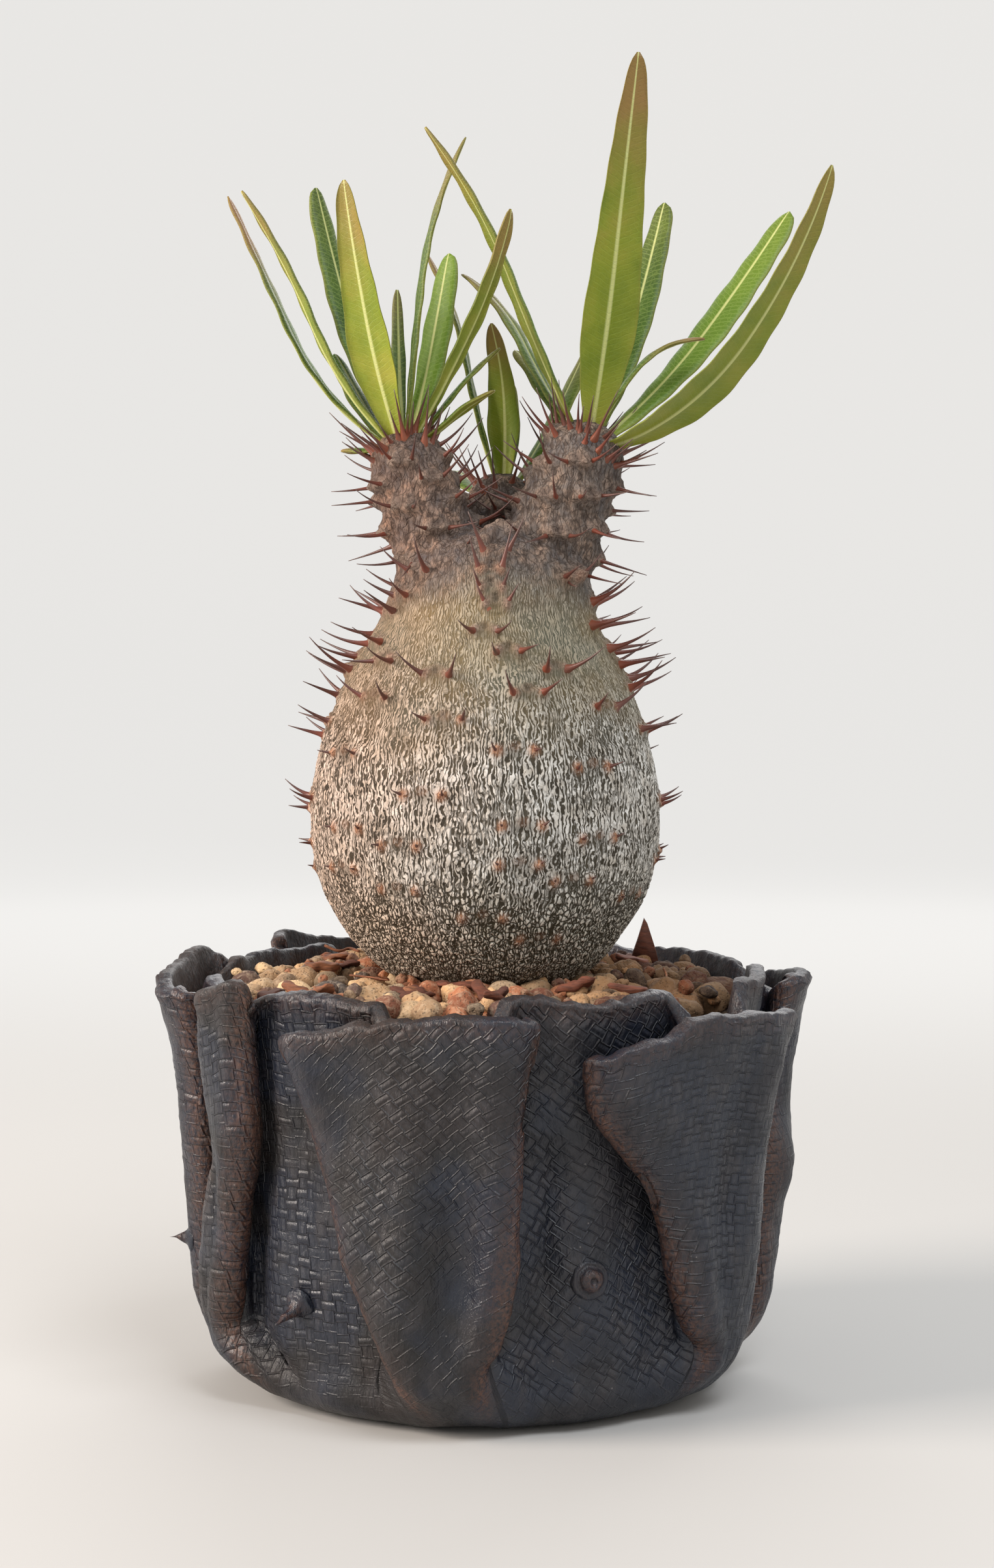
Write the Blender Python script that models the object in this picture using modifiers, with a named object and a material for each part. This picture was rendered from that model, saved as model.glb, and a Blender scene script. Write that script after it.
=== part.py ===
"""A pachypodium in a pot folded from a sheet of black clay.

The plant is a swollen stem with three short branches, paired spines and a tuft of long leaves on
each branch. It stands in a gritty mix that fills the pot. The pot is one clay sheet draped up
round a bowl, whose slack is laid over in flaps. Metres, Z up, with the origin at the middle of
the pot's foot and the front of the pot towards -Y. Bearings are in degrees from the front,
growing towards +X.
"""

import math
import random

import bmesh
import bpy
import numpy as np
from mathutils import Matrix, Vector

MM = 0.001
CLEARANCE = 0.4  # mm between pieces that rest on each other

# The clay sheet of the pot, in mm
WALL = 2.8
FOLD_STEP = 3.2  # between the middles of two layers laid on each other
DRAIN_RADIUS = 6.0
HOLE_SIDES = 16
FLAT_RADIUS = 34.0
RIM_HEIGHT = 71.2
# Radius and height of the middle of the sheet, from the flat foot to the rim
POT_PROFILE = [
    (FLAT_RADIUS, WALL / 2),
    (38.6, 2.0),
    (42.2, 4.0),
    (44.5, 8.0),
    (45.7, 14.0),
    (46.3, 22.0),
    (46.9, 32.0),
    (47.6, 43.0),
    (48.7, 54.0),
    (50.2, 64.0),
    (51.6, RIM_HEIGHT),
]
# Heights at which the edges of each flap are given, from the rim down to the foot
EDGE_HEIGHTS = [71.0, 64.0, 47.0, 30.0, 16.0, 5.0]
# Each flap: the bearings of its left and right edge at those heights, how far the sheet runs
# back under each edge, how far each top corner hangs below the rim, and how far it bulges
FLAPS = [
    dict(
        left=[-38, -36, -33, -28, -21, -17],
        right=[11, 10, 8, 6, 4, -3],
        tuck=(9, 6),
        drop=(5.4, 2.2),
        bulge=1.0,
    ),
    dict(
        left=[17, 19, 28, 38, 45, 56],
        right=[74, 72, 70, 70, 68, 65],
        tuck=(9, 5),
        drop=(8.4, 5.6),
        bulge=1.2,
    ),
    dict(
        left=[86, 87, 87, 86, 85, 85],
        right=[115, 113, 108, 104, 101, 98],
        tuck=(3, 4),
        drop=(0.5, 3.0),
        bulge=2.6,
    ),
    dict(
        left=[130, 130, 132, 135, 138, 141],
        right=[170, 168, 163, 159, 156, 153],
        tuck=(6, 6),
        drop=(4.5, 0.5),
        bulge=2.0,
    ),
    dict(
        left=[189, 190, 193, 197, 201, 204],
        right=[229, 228, 225, 221, 218, 215],
        tuck=(5, 7),
        drop=(-0.5, -2.5),
        bulge=1.8,
    ),
    dict(
        left=[244, 246, 249, 252, 255, 257],
        right=[289, 288, 286, 281, 278, 275],
        tuck=(5, 5),
        drop=(-1.5, 1.0),
        bulge=1.0,
    ),
    dict(
        left=[299, 297, 295, 289, 286, 283],
        right=[315, 312, 309, 303, 298, 294],
        tuck=(1.6, 1.6),
        drop=(0.5, -2.0),
        bulge=0.6,
    ),
]
PANEL_POINTS = 2
# How much of a corner's drop each point of a fold takes, from the panel below to the flap
DROP_SHARE = [0.0, 0.0, 0.15, 0.75, 0.9, 1.0]
# Bearing, height, length and tilt above the horizontal of the clay thorns
THORNS = [
    (-43, 20, 6.5, -25),
    (22.5, 26, 3.4, 0),
    (78, 25, 7.0, -8),
    (-86, 25, 6.5, 0),
    (121, 24, 6.5, -10),
    (160, 36, 6.0, 0),
    (-150, 24, 6.5, -15),
    (-118, 34, 6.0, 5),
]

# The gritty mix, in mm
SOIL_HEIGHT = 66.5
ROOT_HOLE_RADIUS = 6.6
SOIL_SIDES = 40
# Rings that close the top of the mix: share of its radius there, and height
SOIL_TOP = [(0.55, SOIL_HEIGHT + 0.2), (0.34, SOIL_HEIGHT)]
STONES = 52

# The swollen stem: radius and height of its outline and how far its middle lies to +X, in mm
STEM_PROFILE = [
    (2.2, 40.5, 0.5),
    (4.4, 48.5, 0.5),
    (6.0, 60.5, 0.5),
    (6.2, 66.8, 0.5),
    (10.0, 68.1, 0.5),
    (14.0, 70.0, 0.5),
    (18.4, 72.7, 0.5),
    (22.8, 77.1, 0.5),
    (26.4, 82.5, 0.4),
    (29.2, 88.7, 0.3),
    (30.5, 95.1, 0.2),
    (30.6, 101.5, 0.2),
    (29.7, 108.5, 0.3),
    (27.6, 116.0, 0.5),
    (24.8, 122.5, 0.6),
    (21.6, 128.5, 0.8),
    (18.8, 134.5, 1.1),
    (17.3, 140.5, 1.4),
    (14.6, 146.0, 1.6),
    (8.5, 149.6, 1.6),
]
STEM_SIDES = 28
# Each branch: the points its middle passes through, with the radius there
BRANCHES = {
    "left": [
        ((-3.5, 0, 136), 10.6),
        ((-7.8, -1, 146), 8.2),
        ((-11.2, -2, 155), 6.9),
        ((-13.9, -2.5, 162.6), 6.0),
    ],
    "right": [
        ((6.0, 0, 136), 10.6),
        ((10.8, -1, 146), 8.5),
        ((14.3, -2, 155), 7.3),
        ((18.0, -3, 163.2), 6.6),
    ],
    "back": [((2.0, 6, 137), 9.5), ((2.6, 10, 146.5), 7.0), ((3.4, 12.5, 155.5), 6.0)],
}
BRANCH_SIDES = 12

# Bearing and height of the scars on the front of the swollen stem; two spines stand on each.
# The back has the same scars, turned by half a turn
SCARS = [
    (2, 145),
    (-1, 142),
    (0, 139),
    (-48, 142),
    (52, 141),
    (-58, 138),
    (77, 137),
    (3, 136.5),
    (-66, 135),
    (70, 133),
    (-2, 132),
    (-65, 130),
    (82, 129),
    (9, 128.5),
    (-50, 127),
    (88, 126),
    (30, 125.5),
    (-21, 124.5),
    (-84, 125),
    (84, 122),
    (16, 121.5),
    (-47, 120.5),
    (51, 119),
    (-15, 117),
    (-81, 116),
    (79, 115),
    (10, 112),
    (-55, 111),
    (38, 109),
    (-20, 104.5),
    (-83, 103),
    (87, 102.5),
    (12, 99.5),
    (-50, 98.5),
    (39, 97),
    (-28, 96),
    (-86, 95),
    (11, 93),
    (86, 92),
    (-54, 91.5),
    (30, 90),
    (-30, 88.5),
    (62, 86.5),
    (-1, 84),
    (21, 80),
]
# Length of the spines, how far the two of a scar stand apart, in mm, and how far they point above
# the horizontal, in degrees, by height
SPINE_LENGTHS = [
    (78, 1.0),
    (88, 1.5),
    (93, 2.6),
    (98, 4.0),
    (104, 5.6),
    (112, 7.0),
    (120, 8.6),
    (126, 11.0),
    (133, 10.0),
]
# Share of that length that the spines have on the front of the stem, by height
FRONT_SHARES = [
    (92, 0.9),
    (100, 0.4),
    (114, 0.35),
    (119, 0.65),
    (130, 0.55),
    (136, 0.3),
    (139.5, 0.3),
    (142, 0.75),
]
SPINE_SPREADS = [(80, 6.8), (105, 6.8), (118, 5.8), (125, 3.8), (145, 3.4)]
SPINE_TILTS = [(95, 6), (112, 10), (119, 24), (124, 20), (127, 2), (131, 4), (135, 20), (141, 26)]
FRONT_TILT = 62  # of the spines on the front of the neck
STUB_LENGTH = 5.0  # spines shorter than this have no flared root
BRANCH_SCARS = {"left": 20, "right": 21, "back": 10}
BRANCH_TILTS = (-8, 20)  # of the spines of a branch above its normal, at its foot and its top
BRANCH_SPINE = 10.0
GOLDEN_ANGLE = 137.508  # from scar to scar round a branch
SPINE_SIDES = 3

# The leaves. For each: the branch, the bearing it leans to, its slope above the horizontal at
# the root, half way and at the tip, its length and width in mm, and how far along it is widest
LEAVES = {
    "leaf_left_01": ("left", -99, (33, 65, 65), 51.5, 5.8, 0.55),
    "leaf_left_02": ("left", -76, (45, 67, 55), 48.5, 5.0, 0.55),
    "leaf_left_03": ("left", -135, (54, 68, 72), 49.5, 6.4, 0.60),
    "leaf_left_04": ("left", -130, (39, 54, 54), 20, 5.0, 0.55),
    "leaf_left_05": ("left", -34, (60, 72, 76), 44, 9.0, 0.38),
    "leaf_left_06": ("left", 100, (85, 83, 63), 52, 5.4, 0.55),
    "leaf_left_07": ("left", 143, (64, 74, 74), 33.5, 6.4, 0.60),
    "leaf_left_08": ("left", 56, (55, 59, 75), 41.5, 4.6, 0.60),
    "leaf_left_09": ("left", 100, (52, 50, 38), 20, 4.0, 0.55),
    "leaf_left_10": ("left", 74, (36, 38, 20), 14, 4.0, 0.55),
    "leaf_left_11": ("left", -164, (72, 84, 86), 25, 2.6, 0.55),
    "leaf_left_12": ("left", -124, (12, 4, -10), 8, 4.0, 0.55),
    "leaf_right_01": ("right", 24, (69, 76, 74), 63, 10.6, 0.32),
    "leaf_right_02": ("right", 146, (52, 63, 67), 48, 6.6, 0.60),
    "leaf_right_03": ("right", 118, (36, 50, 54), 56, 8.2, 0.60),
    "leaf_right_04": ("right", 56, (13, 50, 70), 63, 9.4, 0.32),
    "leaf_right_05": ("right", 98, (65, 49, -2), 25.5, 3.8, 0.55),
    "leaf_right_06": ("right", -78, (64, 68, 50), 56.5, 6.8, 0.45),
    "leaf_right_07": ("right", -118, (54, 62, 31), 35, 4.8, 0.55),
    "leaf_right_08": ("right", -140, (46, 48, 36), 21, 4.4, 0.55),
    "leaf_back_01": ("back", -100, (72, 79, 59), 43, 4.8, 0.55),
    "leaf_back_02": ("back", -36, (98, 84, 62), 27.5, 7.0, 0.40),
    "leaf_back_03": ("back", 118, (52, 60, 64), 28, 6.4, 0.60),
    "leaf_back_04": ("back", -148, (16, 26, 20), 12, 6.2, 0.60),
    "leaf_back_05": ("back", 172, (66, 84, 80), 18, 5.0, 0.60),
}
LEAF_ROLLS = {"leaf_right_03": 18, "leaf_right_04": -16}  # turned about their midrib, in degrees
LEAF_THICKNESS = 0.8
LEAF_STATIONS = 8
LEAF_ARCH = 0.16  # how far the margins curl down, as a share of the half width

COLOURS = {
    "pot_clay": ((0.018, 0.016, 0.017), 0.62),
    "grit": ((0.34, 0.25, 0.18), 0.90),
    "stem_bark": ((0.36, 0.31, 0.25), 0.85),
    "leaf_green": ((0.22, 0.32, 0.05), 0.48),
}


def smooth_step(low, high, x):
    """0 below low, 1 above high, and a smooth rise between them."""
    t = min(1.0, max(0.0, (x - low) / (high - low)))
    return t * t * (3 - 2 * t)


def on_bearing(bearing, radius, height):
    """The point in mm at that bearing, radius and height."""
    angle = math.radians(bearing)
    return np.array([radius * math.sin(angle), -radius * math.cos(angle), height])


def material(slot):
    colour, roughness = COLOURS[slot]
    made = bpy.data.materials.get(slot)
    if made is None:
        made = bpy.data.materials.new(slot)
        made.use_nodes = True
        shader = made.node_tree.nodes["Principled BSDF"]
        shader.inputs["Base Color"].default_value = (*colour, 1)
        shader.inputs["Roughness"].default_value = roughness
        shader.inputs["Metallic"].default_value = 0.0
    return made


def mesh_object(name, points_mm, faces, slot, collection):
    """An object from points in mm and faces, its normals facing out."""
    mesh = bpy.data.meshes.new(name)
    mesh.from_pydata([tuple(float(c) * MM for c in p) for p in points_mm], [], faces)
    cleaner = bmesh.new()
    cleaner.from_mesh(mesh)
    bmesh.ops.recalc_face_normals(cleaner, faces=cleaner.faces)
    cleaner.to_mesh(mesh)
    cleaner.free()
    mesh.materials.append(material(slot))
    made = bpy.data.objects.new(name, mesh)
    collection.objects.link(made)
    return made


def quads_between(rings):
    """The faces between rings of equally many points."""
    sides = len(rings[0])
    return [
        (r * sides + k, r * sides + (k + 1) % sides, (r + 1) * sides + (k + 1) % sides, (r + 1) * sides + k)
        for r in range(len(rings) - 1)
        for k in range(sides)
    ]


def loft(name, rings, slot, collection):
    """A closed solid through rings of equally many points, its two ends capped."""
    sides = len(rings[0])
    points = [p for ring in rings for p in ring]
    faces = quads_between(rings)
    last = (len(rings) - 1) * sides
    faces.append(tuple(reversed(range(sides))))
    faces.append(tuple(range(last, last + sides)))
    return mesh_object(name, points, faces, slot, collection)


def fuse(target, pieces, collection):
    """Joins the pieces to the target in one Boolean union, then removes them."""
    group = bpy.data.collections.new(target.name + "_repeats")
    bpy.context.scene.collection.children.link(group)
    for piece in pieces:
        collection.objects.unlink(piece)
        group.objects.link(piece)
    union = target.modifiers.new("fuse", "BOOLEAN")
    union.operation = "UNION"
    union.operand_type = "COLLECTION"
    union.collection = group
    union.solver = "MANIFOLD"
    graph = bpy.context.evaluated_depsgraph_get()
    fused = bpy.data.meshes.new_from_object(target.evaluated_get(graph))
    target.modifiers.clear()
    target.data = fused
    for piece in pieces:
        bpy.data.objects.remove(piece)
    bpy.data.collections.remove(group)


# The pot


def fold_points(tuck, step, roundness, ramp):
    """The sheet across a left flap edge, as (along, out) in mm: from the panel below, back out
    round two turns to the flap on top. Roundness 0 is a plain ramp and 1 the full fold."""
    turn = step / 2
    folded = [(tuck, -step), (tuck + turn, -turn), (tuck, 0), (0, 0), (-turn, turn), (0, step)]
    points = []
    for k, (along, out) in enumerate(folded):
        share = 2 * k / (len(folded) - 1) - 1
        points.append(
            (
                roundness * along + (1 - roundness) * ramp * share,
                roundness * out + (1 - roundness) * step * share,
            )
        )
    return points


def edge_bearing(edge, height):
    return float(np.interp(height, EDGE_HEIGHTS[::-1], edge[::-1]))


def flap_folds(i, radius, height):
    """The two folds of flap i in one ring, each as a list of (bearing, out, drop share)."""
    flap = FLAPS[i]
    following = FLAPS[(i + 1) % len(FLAPS)]
    turn_before = 360 if i == 0 else 0
    turn_after = 360 if i == len(FLAPS) - 1 else 0
    step = FOLD_STEP * smooth_step(2.0, 15.0, height)
    roundness = smooth_step(15.0, 31.0, height)
    tuck_share = smooth_step(20.0, 62.0, height)
    degrees = math.degrees(1 / radius)
    left, right = edge_bearing(flap["left"], height), edge_bearing(flap["right"], height)
    width = (right - left) / degrees
    before = (left - edge_bearing(FLAPS[i - 1]["right"], height) + turn_before) / degrees
    after = (edge_bearing(following["left"], height) - right + turn_after) / degrees
    inset = roundness * (step / 2 + WALL / 2) * degrees
    left_ramp = min(4.0, 0.36 * width, 0.36 * before)
    right_ramp = min(4.0, 0.36 * width, 0.36 * after)
    left_fold = fold_points(flap["tuck"][0] * tuck_share, step, roundness, left_ramp)
    right_fold = fold_points(flap["tuck"][1] * tuck_share, step, roundness, right_ramp)
    return (
        [(left + inset + along * degrees, out, share) for (along, out), share in zip(left_fold, DROP_SHARE)],
        [
            (right - inset - along * degrees, out, share)
            for (along, out), share in zip(right_fold[::-1], DROP_SHARE[::-1])
        ],
    )


def pot_ring(radius, height):
    """One ring of the sheet: a list of (bearing, radius, height) that runs round the pot."""
    step = FOLD_STEP * smooth_step(2.0, 15.0, height)
    hang = smooth_step(34.0, RIM_HEIGHT, height)
    panel = smooth_step(3.0, 30.0, height)
    folds = [flap_folds(i, radius, height) for i in range(len(FLAPS))]
    ring = []
    for i, flap in enumerate(FLAPS):
        left, right = folds[i]
        next_left = folds[(i + 1) % len(FLAPS)][0][0][0] + (360 if i == len(FLAPS) - 1 else 0)
        ring += [(b, radius + out, height - hang * share * flap["drop"][0]) for b, out, share in left]
        for k in range(1, PANEL_POINTS + 1):
            share = k / (PANEL_POINTS + 1)
            bearing = left[-1][0] + share * (right[0][0] - left[-1][0])
            bulge = panel * flap["bulge"] * math.sin(math.pi * share)
            drop = (1 - share) ** 2 * flap["drop"][0] + share**2 * flap["drop"][1]
            ring.append((bearing, radius + step + bulge, height - hang * drop))
        ring += [(b, radius + out, height - hang * share * flap["drop"][1]) for b, out, share in right]
        for k in range(1, PANEL_POINTS + 1):
            bearing = right[-1][0] + k / (PANEL_POINTS + 1) * (next_left - right[-1][0])
            ring.append((bearing, radius - step, height))
    return ring


def even_bearings(ring, share):
    """The ring with its bearings drawn towards an even spacing by that share."""
    first = ring[0][0]
    count = len(ring)
    even = [first + 360 * k / count for k in range(count)]
    return [((1 - share) * b + share * e, r, h) for e, (b, r, h) in zip(even, ring)]


def pot_rings():
    rings = []
    for radius, height in POT_PROFILE:
        rings.append(even_bearings(pot_ring(radius, height), 0.6 * (1 - smooth_step(2.0, 15.0, height))))
    return rings


def fill_foot(builder, first_hole_point, sides):
    """Fills the flat foot between its outer ring and the drain hole."""
    points = builder.verts
    points.ensure_lookup_table()
    around_hole = []
    for k in range(HOLE_SIDES):
        pair = (points[first_hole_point + k], points[first_hole_point + (k + 1) % HOLE_SIDES])
        around_hole.append(builder.edges.new(pair))
    around_foot = [builder.edges.get((points[k], points[(k + 1) % sides])) for k in range(sides)]
    bmesh.ops.triangle_fill(builder, use_beauty=True, edges=around_hole + around_foot)
    bmesh.ops.recalc_face_normals(builder, faces=builder.faces)
    builder.normal_update()
    foot = next(f for f in builder.faces if all(abs(v.co.z - WALL / 2 * MM) < 1e-7 for v in f.verts))
    if foot.normal.z > 0:
        bmesh.ops.reverse_faces(builder, faces=builder.faces)


def folded_sheet():
    """The middle of the clay sheet as a mesh without thickness, its normals facing out."""
    rings = pot_rings()
    points = [on_bearing(*p) for ring in rings for p in ring]
    hole = [on_bearing(360 * k / HOLE_SIDES, DRAIN_RADIUS, WALL / 2) for k in range(HOLE_SIDES)]
    mesh = bpy.data.meshes.new("pot")
    mesh.from_pydata([tuple(p * MM) for p in points + hole], [], quads_between(rings))
    builder = bmesh.new()
    builder.from_mesh(mesh)
    fill_foot(builder, len(points), len(rings[0]))
    builder.to_mesh(mesh)
    builder.free()
    mesh.materials.append(material("pot_clay"))
    return mesh


def add_pot(collection):
    pot = bpy.data.objects.new("pot", folded_sheet())
    collection.objects.link(pot)
    wall = pot.modifiers.new("wall", "SOLIDIFY")
    wall.thickness = WALL * MM
    wall.offset = 0
    wall.use_even_offset = False
    graph = bpy.context.evaluated_depsgraph_get()
    shell = bpy.data.meshes.new_from_object(pot.evaluated_get(graph))
    pot.modifiers.clear()
    pot.data = shell
    thorns = [add_thorn(k, *thorn, collection) for k, thorn in enumerate(THORNS)]
    fuse(pot, thorns, collection)
    return pot


def wall_radius(bearing, height):
    """How far out the outermost layer of the sheet's middle lies, in mm."""
    radius = float(np.interp(height, [h for _, h in POT_PROFILE], [r for r, _ in POT_PROFILE]))
    ring = pot_ring(radius, height)
    ring.append((ring[0][0] + 360, ring[0][1], ring[0][2]))
    found = []
    for (b0, r0, _), (b1, r1, _) in zip(ring, ring[1:]):
        for turn in (-360, 0, 360):
            low, high = sorted((b0 + turn, b1 + turn))
            if low <= bearing <= high and high > low:
                found.append(r0 + (r1 - r0) * (bearing - turn - b0) / (b1 - b0))
    return max(found)


def add_thorn(k, bearing, height, length, tilt, collection):
    """A clay thorn with a broad root that is sunk in the wall."""
    root = on_bearing(bearing, wall_radius(bearing, height) - 0.4, height)
    out = on_bearing(bearing, math.cos(math.radians(tilt)), math.sin(math.radians(tilt)))
    turn = Vector(out).to_track_quat("Z", "Y").to_matrix()
    rings = []
    for radius, along in [(2.4, 0.0), (2.2, 1.8), (1.3, 2.9), (0.25, length + 1.4)]:
        ring = []
        for side in range(8):
            angle = 2 * math.pi * side / 8
            local = Vector((radius * math.cos(angle), radius * math.sin(angle), along))
            ring.append(np.array(turn @ local) + root)
        rings.append(ring)
    return loft(f"thorn_{k}", rings, "pot_clay", collection)


# The gritty mix


def inner_radius(ring, bearing, window):
    """The smallest radius of the faceted ring within a window of that bearing."""
    least = math.inf
    corners = [on_bearing(*p)[:2] for p in ring]
    for a, b in zip(corners, corners[1:] + corners[:1]):
        for share in (0.0, 0.25, 0.5, 0.75, 1.0):
            x, y = a + share * (b - a)
            away = (math.degrees(math.atan2(x, -y)) - bearing + 180) % 360 - 180
            if abs(away) <= window:
                least = min(least, math.hypot(x, y))
    return least


def soil_rings():
    """The outside of the mix: the inside of the pot, less the clearance."""
    rings = []
    inset = WALL / 2 + CLEARANCE
    for i, (radius, height) in enumerate(POT_PROFILE):
        before = POT_PROFILE[max(0, i - 1)]
        after = POT_PROFILE[min(len(POT_PROFILE) - 1, i + 1)]
        slope = math.atan2(after[1] - before[1], after[0] - before[0])
        if i == 0:
            slope = 0.05
        ring = pot_rings()[i]
        inward, up = math.sin(slope) * inset, math.cos(slope) * inset
        level = []
        for k in range(SOIL_SIDES):
            bearing = 360 * k / SOIL_SIDES
            least = inner_radius(ring, bearing, 9.0) - inward - (0.6 if height > 12 else 0.3)
            level.append(on_bearing(bearing, least, height + up))
        if level[0][2] >= SOIL_HEIGHT:
            break
        rings.append(level)
    top = [p.copy() for p in rings[-1]]
    for p in top:
        p[2] = SOIL_HEIGHT
    rings.append(top)
    return rings


def stone_places():
    """Where the stones of the top layer lie: (x, y, z, radius, squash, turn), from a seeded draw."""
    draw = random.Random(7)
    places = []
    tries = 0
    while len(places) < STONES and tries < 6000:
        tries += 1
        radius = draw.uniform(3.0, 5.4)
        bearing = draw.uniform(0, 360)
        reach = math.sqrt(draw.uniform(15.0**2, 42.0**2))
        squash = draw.uniform(0.6, 0.9)
        turn = draw.uniform(0, 360)
        if reach + radius > 43.6:
            continue
        x, y, _ = on_bearing(bearing, reach, 0)
        if any(math.hypot(x - p[0], y - p[1]) < 0.8 * (radius + p[3]) for p in places):
            continue
        z = SOIL_HEIGHT + 0.25 * radius
        places.append((x, y, z, radius, squash, turn))
    return places


def stem_radius(height):
    return float(np.interp(height, [h for _, h, _ in STEM_PROFILE], [r for r, _, _ in STEM_PROFILE]))


def stem_axis(height):
    """The middle of the swollen stem at that height."""
    shift = np.interp(height, [h for _, h, _ in STEM_PROFILE], [x for _, _, x in STEM_PROFILE])
    return np.array([float(shift), 0.0, 0.0])


def clear_of_stem(x, y, z, radius):
    """Whether a ball there stays clear of the swollen stem."""
    for r, h, shift in STEM_PROFILE[3:]:
        flat = math.hypot(x - shift, y)
        if math.hypot(flat - min(r, flat), z - h) < radius + 0.6:
            return False
    return True


def add_stone(k, x, y, z, radius, squash, turn, collection):
    ball = bmesh.new()
    bmesh.ops.create_icosphere(ball, subdivisions=1, radius=radius * MM)
    mesh = bpy.data.meshes.new(f"stone_{k}")
    ball.to_mesh(mesh)
    ball.free()
    stone = bpy.data.objects.new(f"stone_{k}", mesh)
    stone.matrix_world = (
        Matrix.Translation(Vector((x, y, z)) * MM)
        @ Matrix.Rotation(math.radians(turn), 4, "Z")
        @ Matrix.Rotation(math.radians(turn / 7), 4, "X")
        @ Matrix.Diagonal((1.0, 0.85, squash, 1.0))
    )
    collection.objects.link(stone)
    return stone


def add_soil(collection):
    rings = soil_rings()
    outer = rings[-1]
    for share, height in SOIL_TOP:
        rings.append([np.array([p[0] * share, p[1] * share, height]) for p in outer])
    axis = stem_axis(SOIL_HEIGHT)
    for height in (SOIL_HEIGHT - 0.3, STEM_PROFILE[0][1] - 1.0):
        hole = [on_bearing(360 * k / SOIL_SIDES, ROOT_HOLE_RADIUS, height) for k in range(SOIL_SIDES)]
        rings.append([axis + point for point in hole])
    soil = loft("gritty_mix", rings, "grit", collection)
    places = [place for place in stone_places() if clear_of_stem(*place[:4])]
    stones = [add_stone(k, *place, collection) for k, place in enumerate(places)]
    bpy.context.view_layer.update()
    fuse(soil, stones, collection)
    return soil


# The stem


def stem_ring(radius, height):
    """One ring of the swollen stem, a little out of round."""
    axis = stem_axis(height)
    ring = []
    for k in range(STEM_SIDES):
        bearing = 360 * k / STEM_SIDES
        wave = 1 + 0.012 * math.sin(math.radians(3 * bearing + 2.0 * height)) if height > 70 else 1.0
        ring.append(axis + on_bearing(bearing, radius * wave, height))
    return ring


def path_frames(points):
    """Tangents of a path through points."""
    points = np.array(points, float)
    tangents = np.gradient(points, axis=0)
    return points, tangents / np.linalg.norm(tangents, axis=1)[:, None]


def ring_about(centre, tangent, radius, sides):
    side = np.cross(tangent, [0, 1, 0])
    side /= np.linalg.norm(side)
    other = np.cross(tangent, side)
    turns = [2 * math.pi * k / sides for k in range(sides)]
    return [centre + radius * (math.cos(turn) * side + math.sin(turn) * other) for turn in turns]


def add_branch(name, collection):
    """A branch with a domed end."""
    nodes = BRANCHES[name]
    points, tangents = path_frames([p for p, _ in nodes])
    rings = [ring_about(p, t, r, BRANCH_SIDES) for p, t, (_, r) in zip(points, tangents, nodes)]
    end, tip, radius = points[-1], tangents[-1], nodes[-1][1]
    for share in (0.45, 0.8, 0.97):
        dome = radius * math.sqrt(1 - share**2)
        rings.append(ring_about(end + tip * radius * 0.8 * share, tip, dome, BRANCH_SIDES))
    return loft(f"branch_{name}", rings, "stem_bark", collection)


def spine(name, root, out, length, flare, collection):
    """One spine: a needle, with or without a flared root, that curves a little upwards."""
    out = out / np.linalg.norm(out)
    stations = [(-0.9, 0.75), (length, 0.1)]
    if flare:
        stations = [(-0.9, 1.25), (0.3 * length, 0.45), (length, 0.1)]
    rings = []
    for along, radius in stations:
        lift = 0.12 * length * (max(0.0, along) / length) ** 2
        rings.append(ring_about(root + out * along + np.array([0, 0, lift]), out, radius, SPINE_SIDES))
    return loft(name, rings, "stem_bark", collection)


def pair_of_spines(name, centre, normal, spread, length, flare, collection):
    """Two spines side by side, leaning apart."""
    side = np.cross([0, 0, 1.0], normal)
    side /= np.linalg.norm(side)
    pair = []
    for hand in (-1, 1):
        root = centre + side * hand * spread / 2
        pair.append(spine(f"{name}_{hand}", root, normal + side * hand * 0.4, length, flare, collection))
    return pair


def spine_tilt(bearing, height):
    if abs(bearing) < 5 and height > 136:
        return FRONT_TILT
    return float(np.interp(height, *zip(*SPINE_TILTS)))


def spine_length(bearing, height):
    length = float(np.interp(height, *zip(*SPINE_LENGTHS)))
    front = smooth_step(72, 48, abs(bearing))
    return length * (1 - front * (1 - float(np.interp(height, *zip(*FRONT_SHARES)))))


def stem_spines(collection):
    made = []
    scars = SCARS + [(bearing + 180, height - 1.5) for bearing, height in SCARS]
    for k, (bearing, height) in enumerate(scars):
        centre = stem_axis(height) + on_bearing(bearing, stem_radius(height) - 0.2, height)
        tilt = math.radians(spine_tilt(bearing, height))
        normal = on_bearing(bearing, math.cos(tilt), math.sin(tilt))
        spread = float(np.interp(height, *zip(*SPINE_SPREADS)))
        length = spine_length(bearing, height)
        flare = length > STUB_LENGTH
        made += pair_of_spines(f"scar_{k}", centre, normal, spread, length, flare, collection)
    return made


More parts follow.
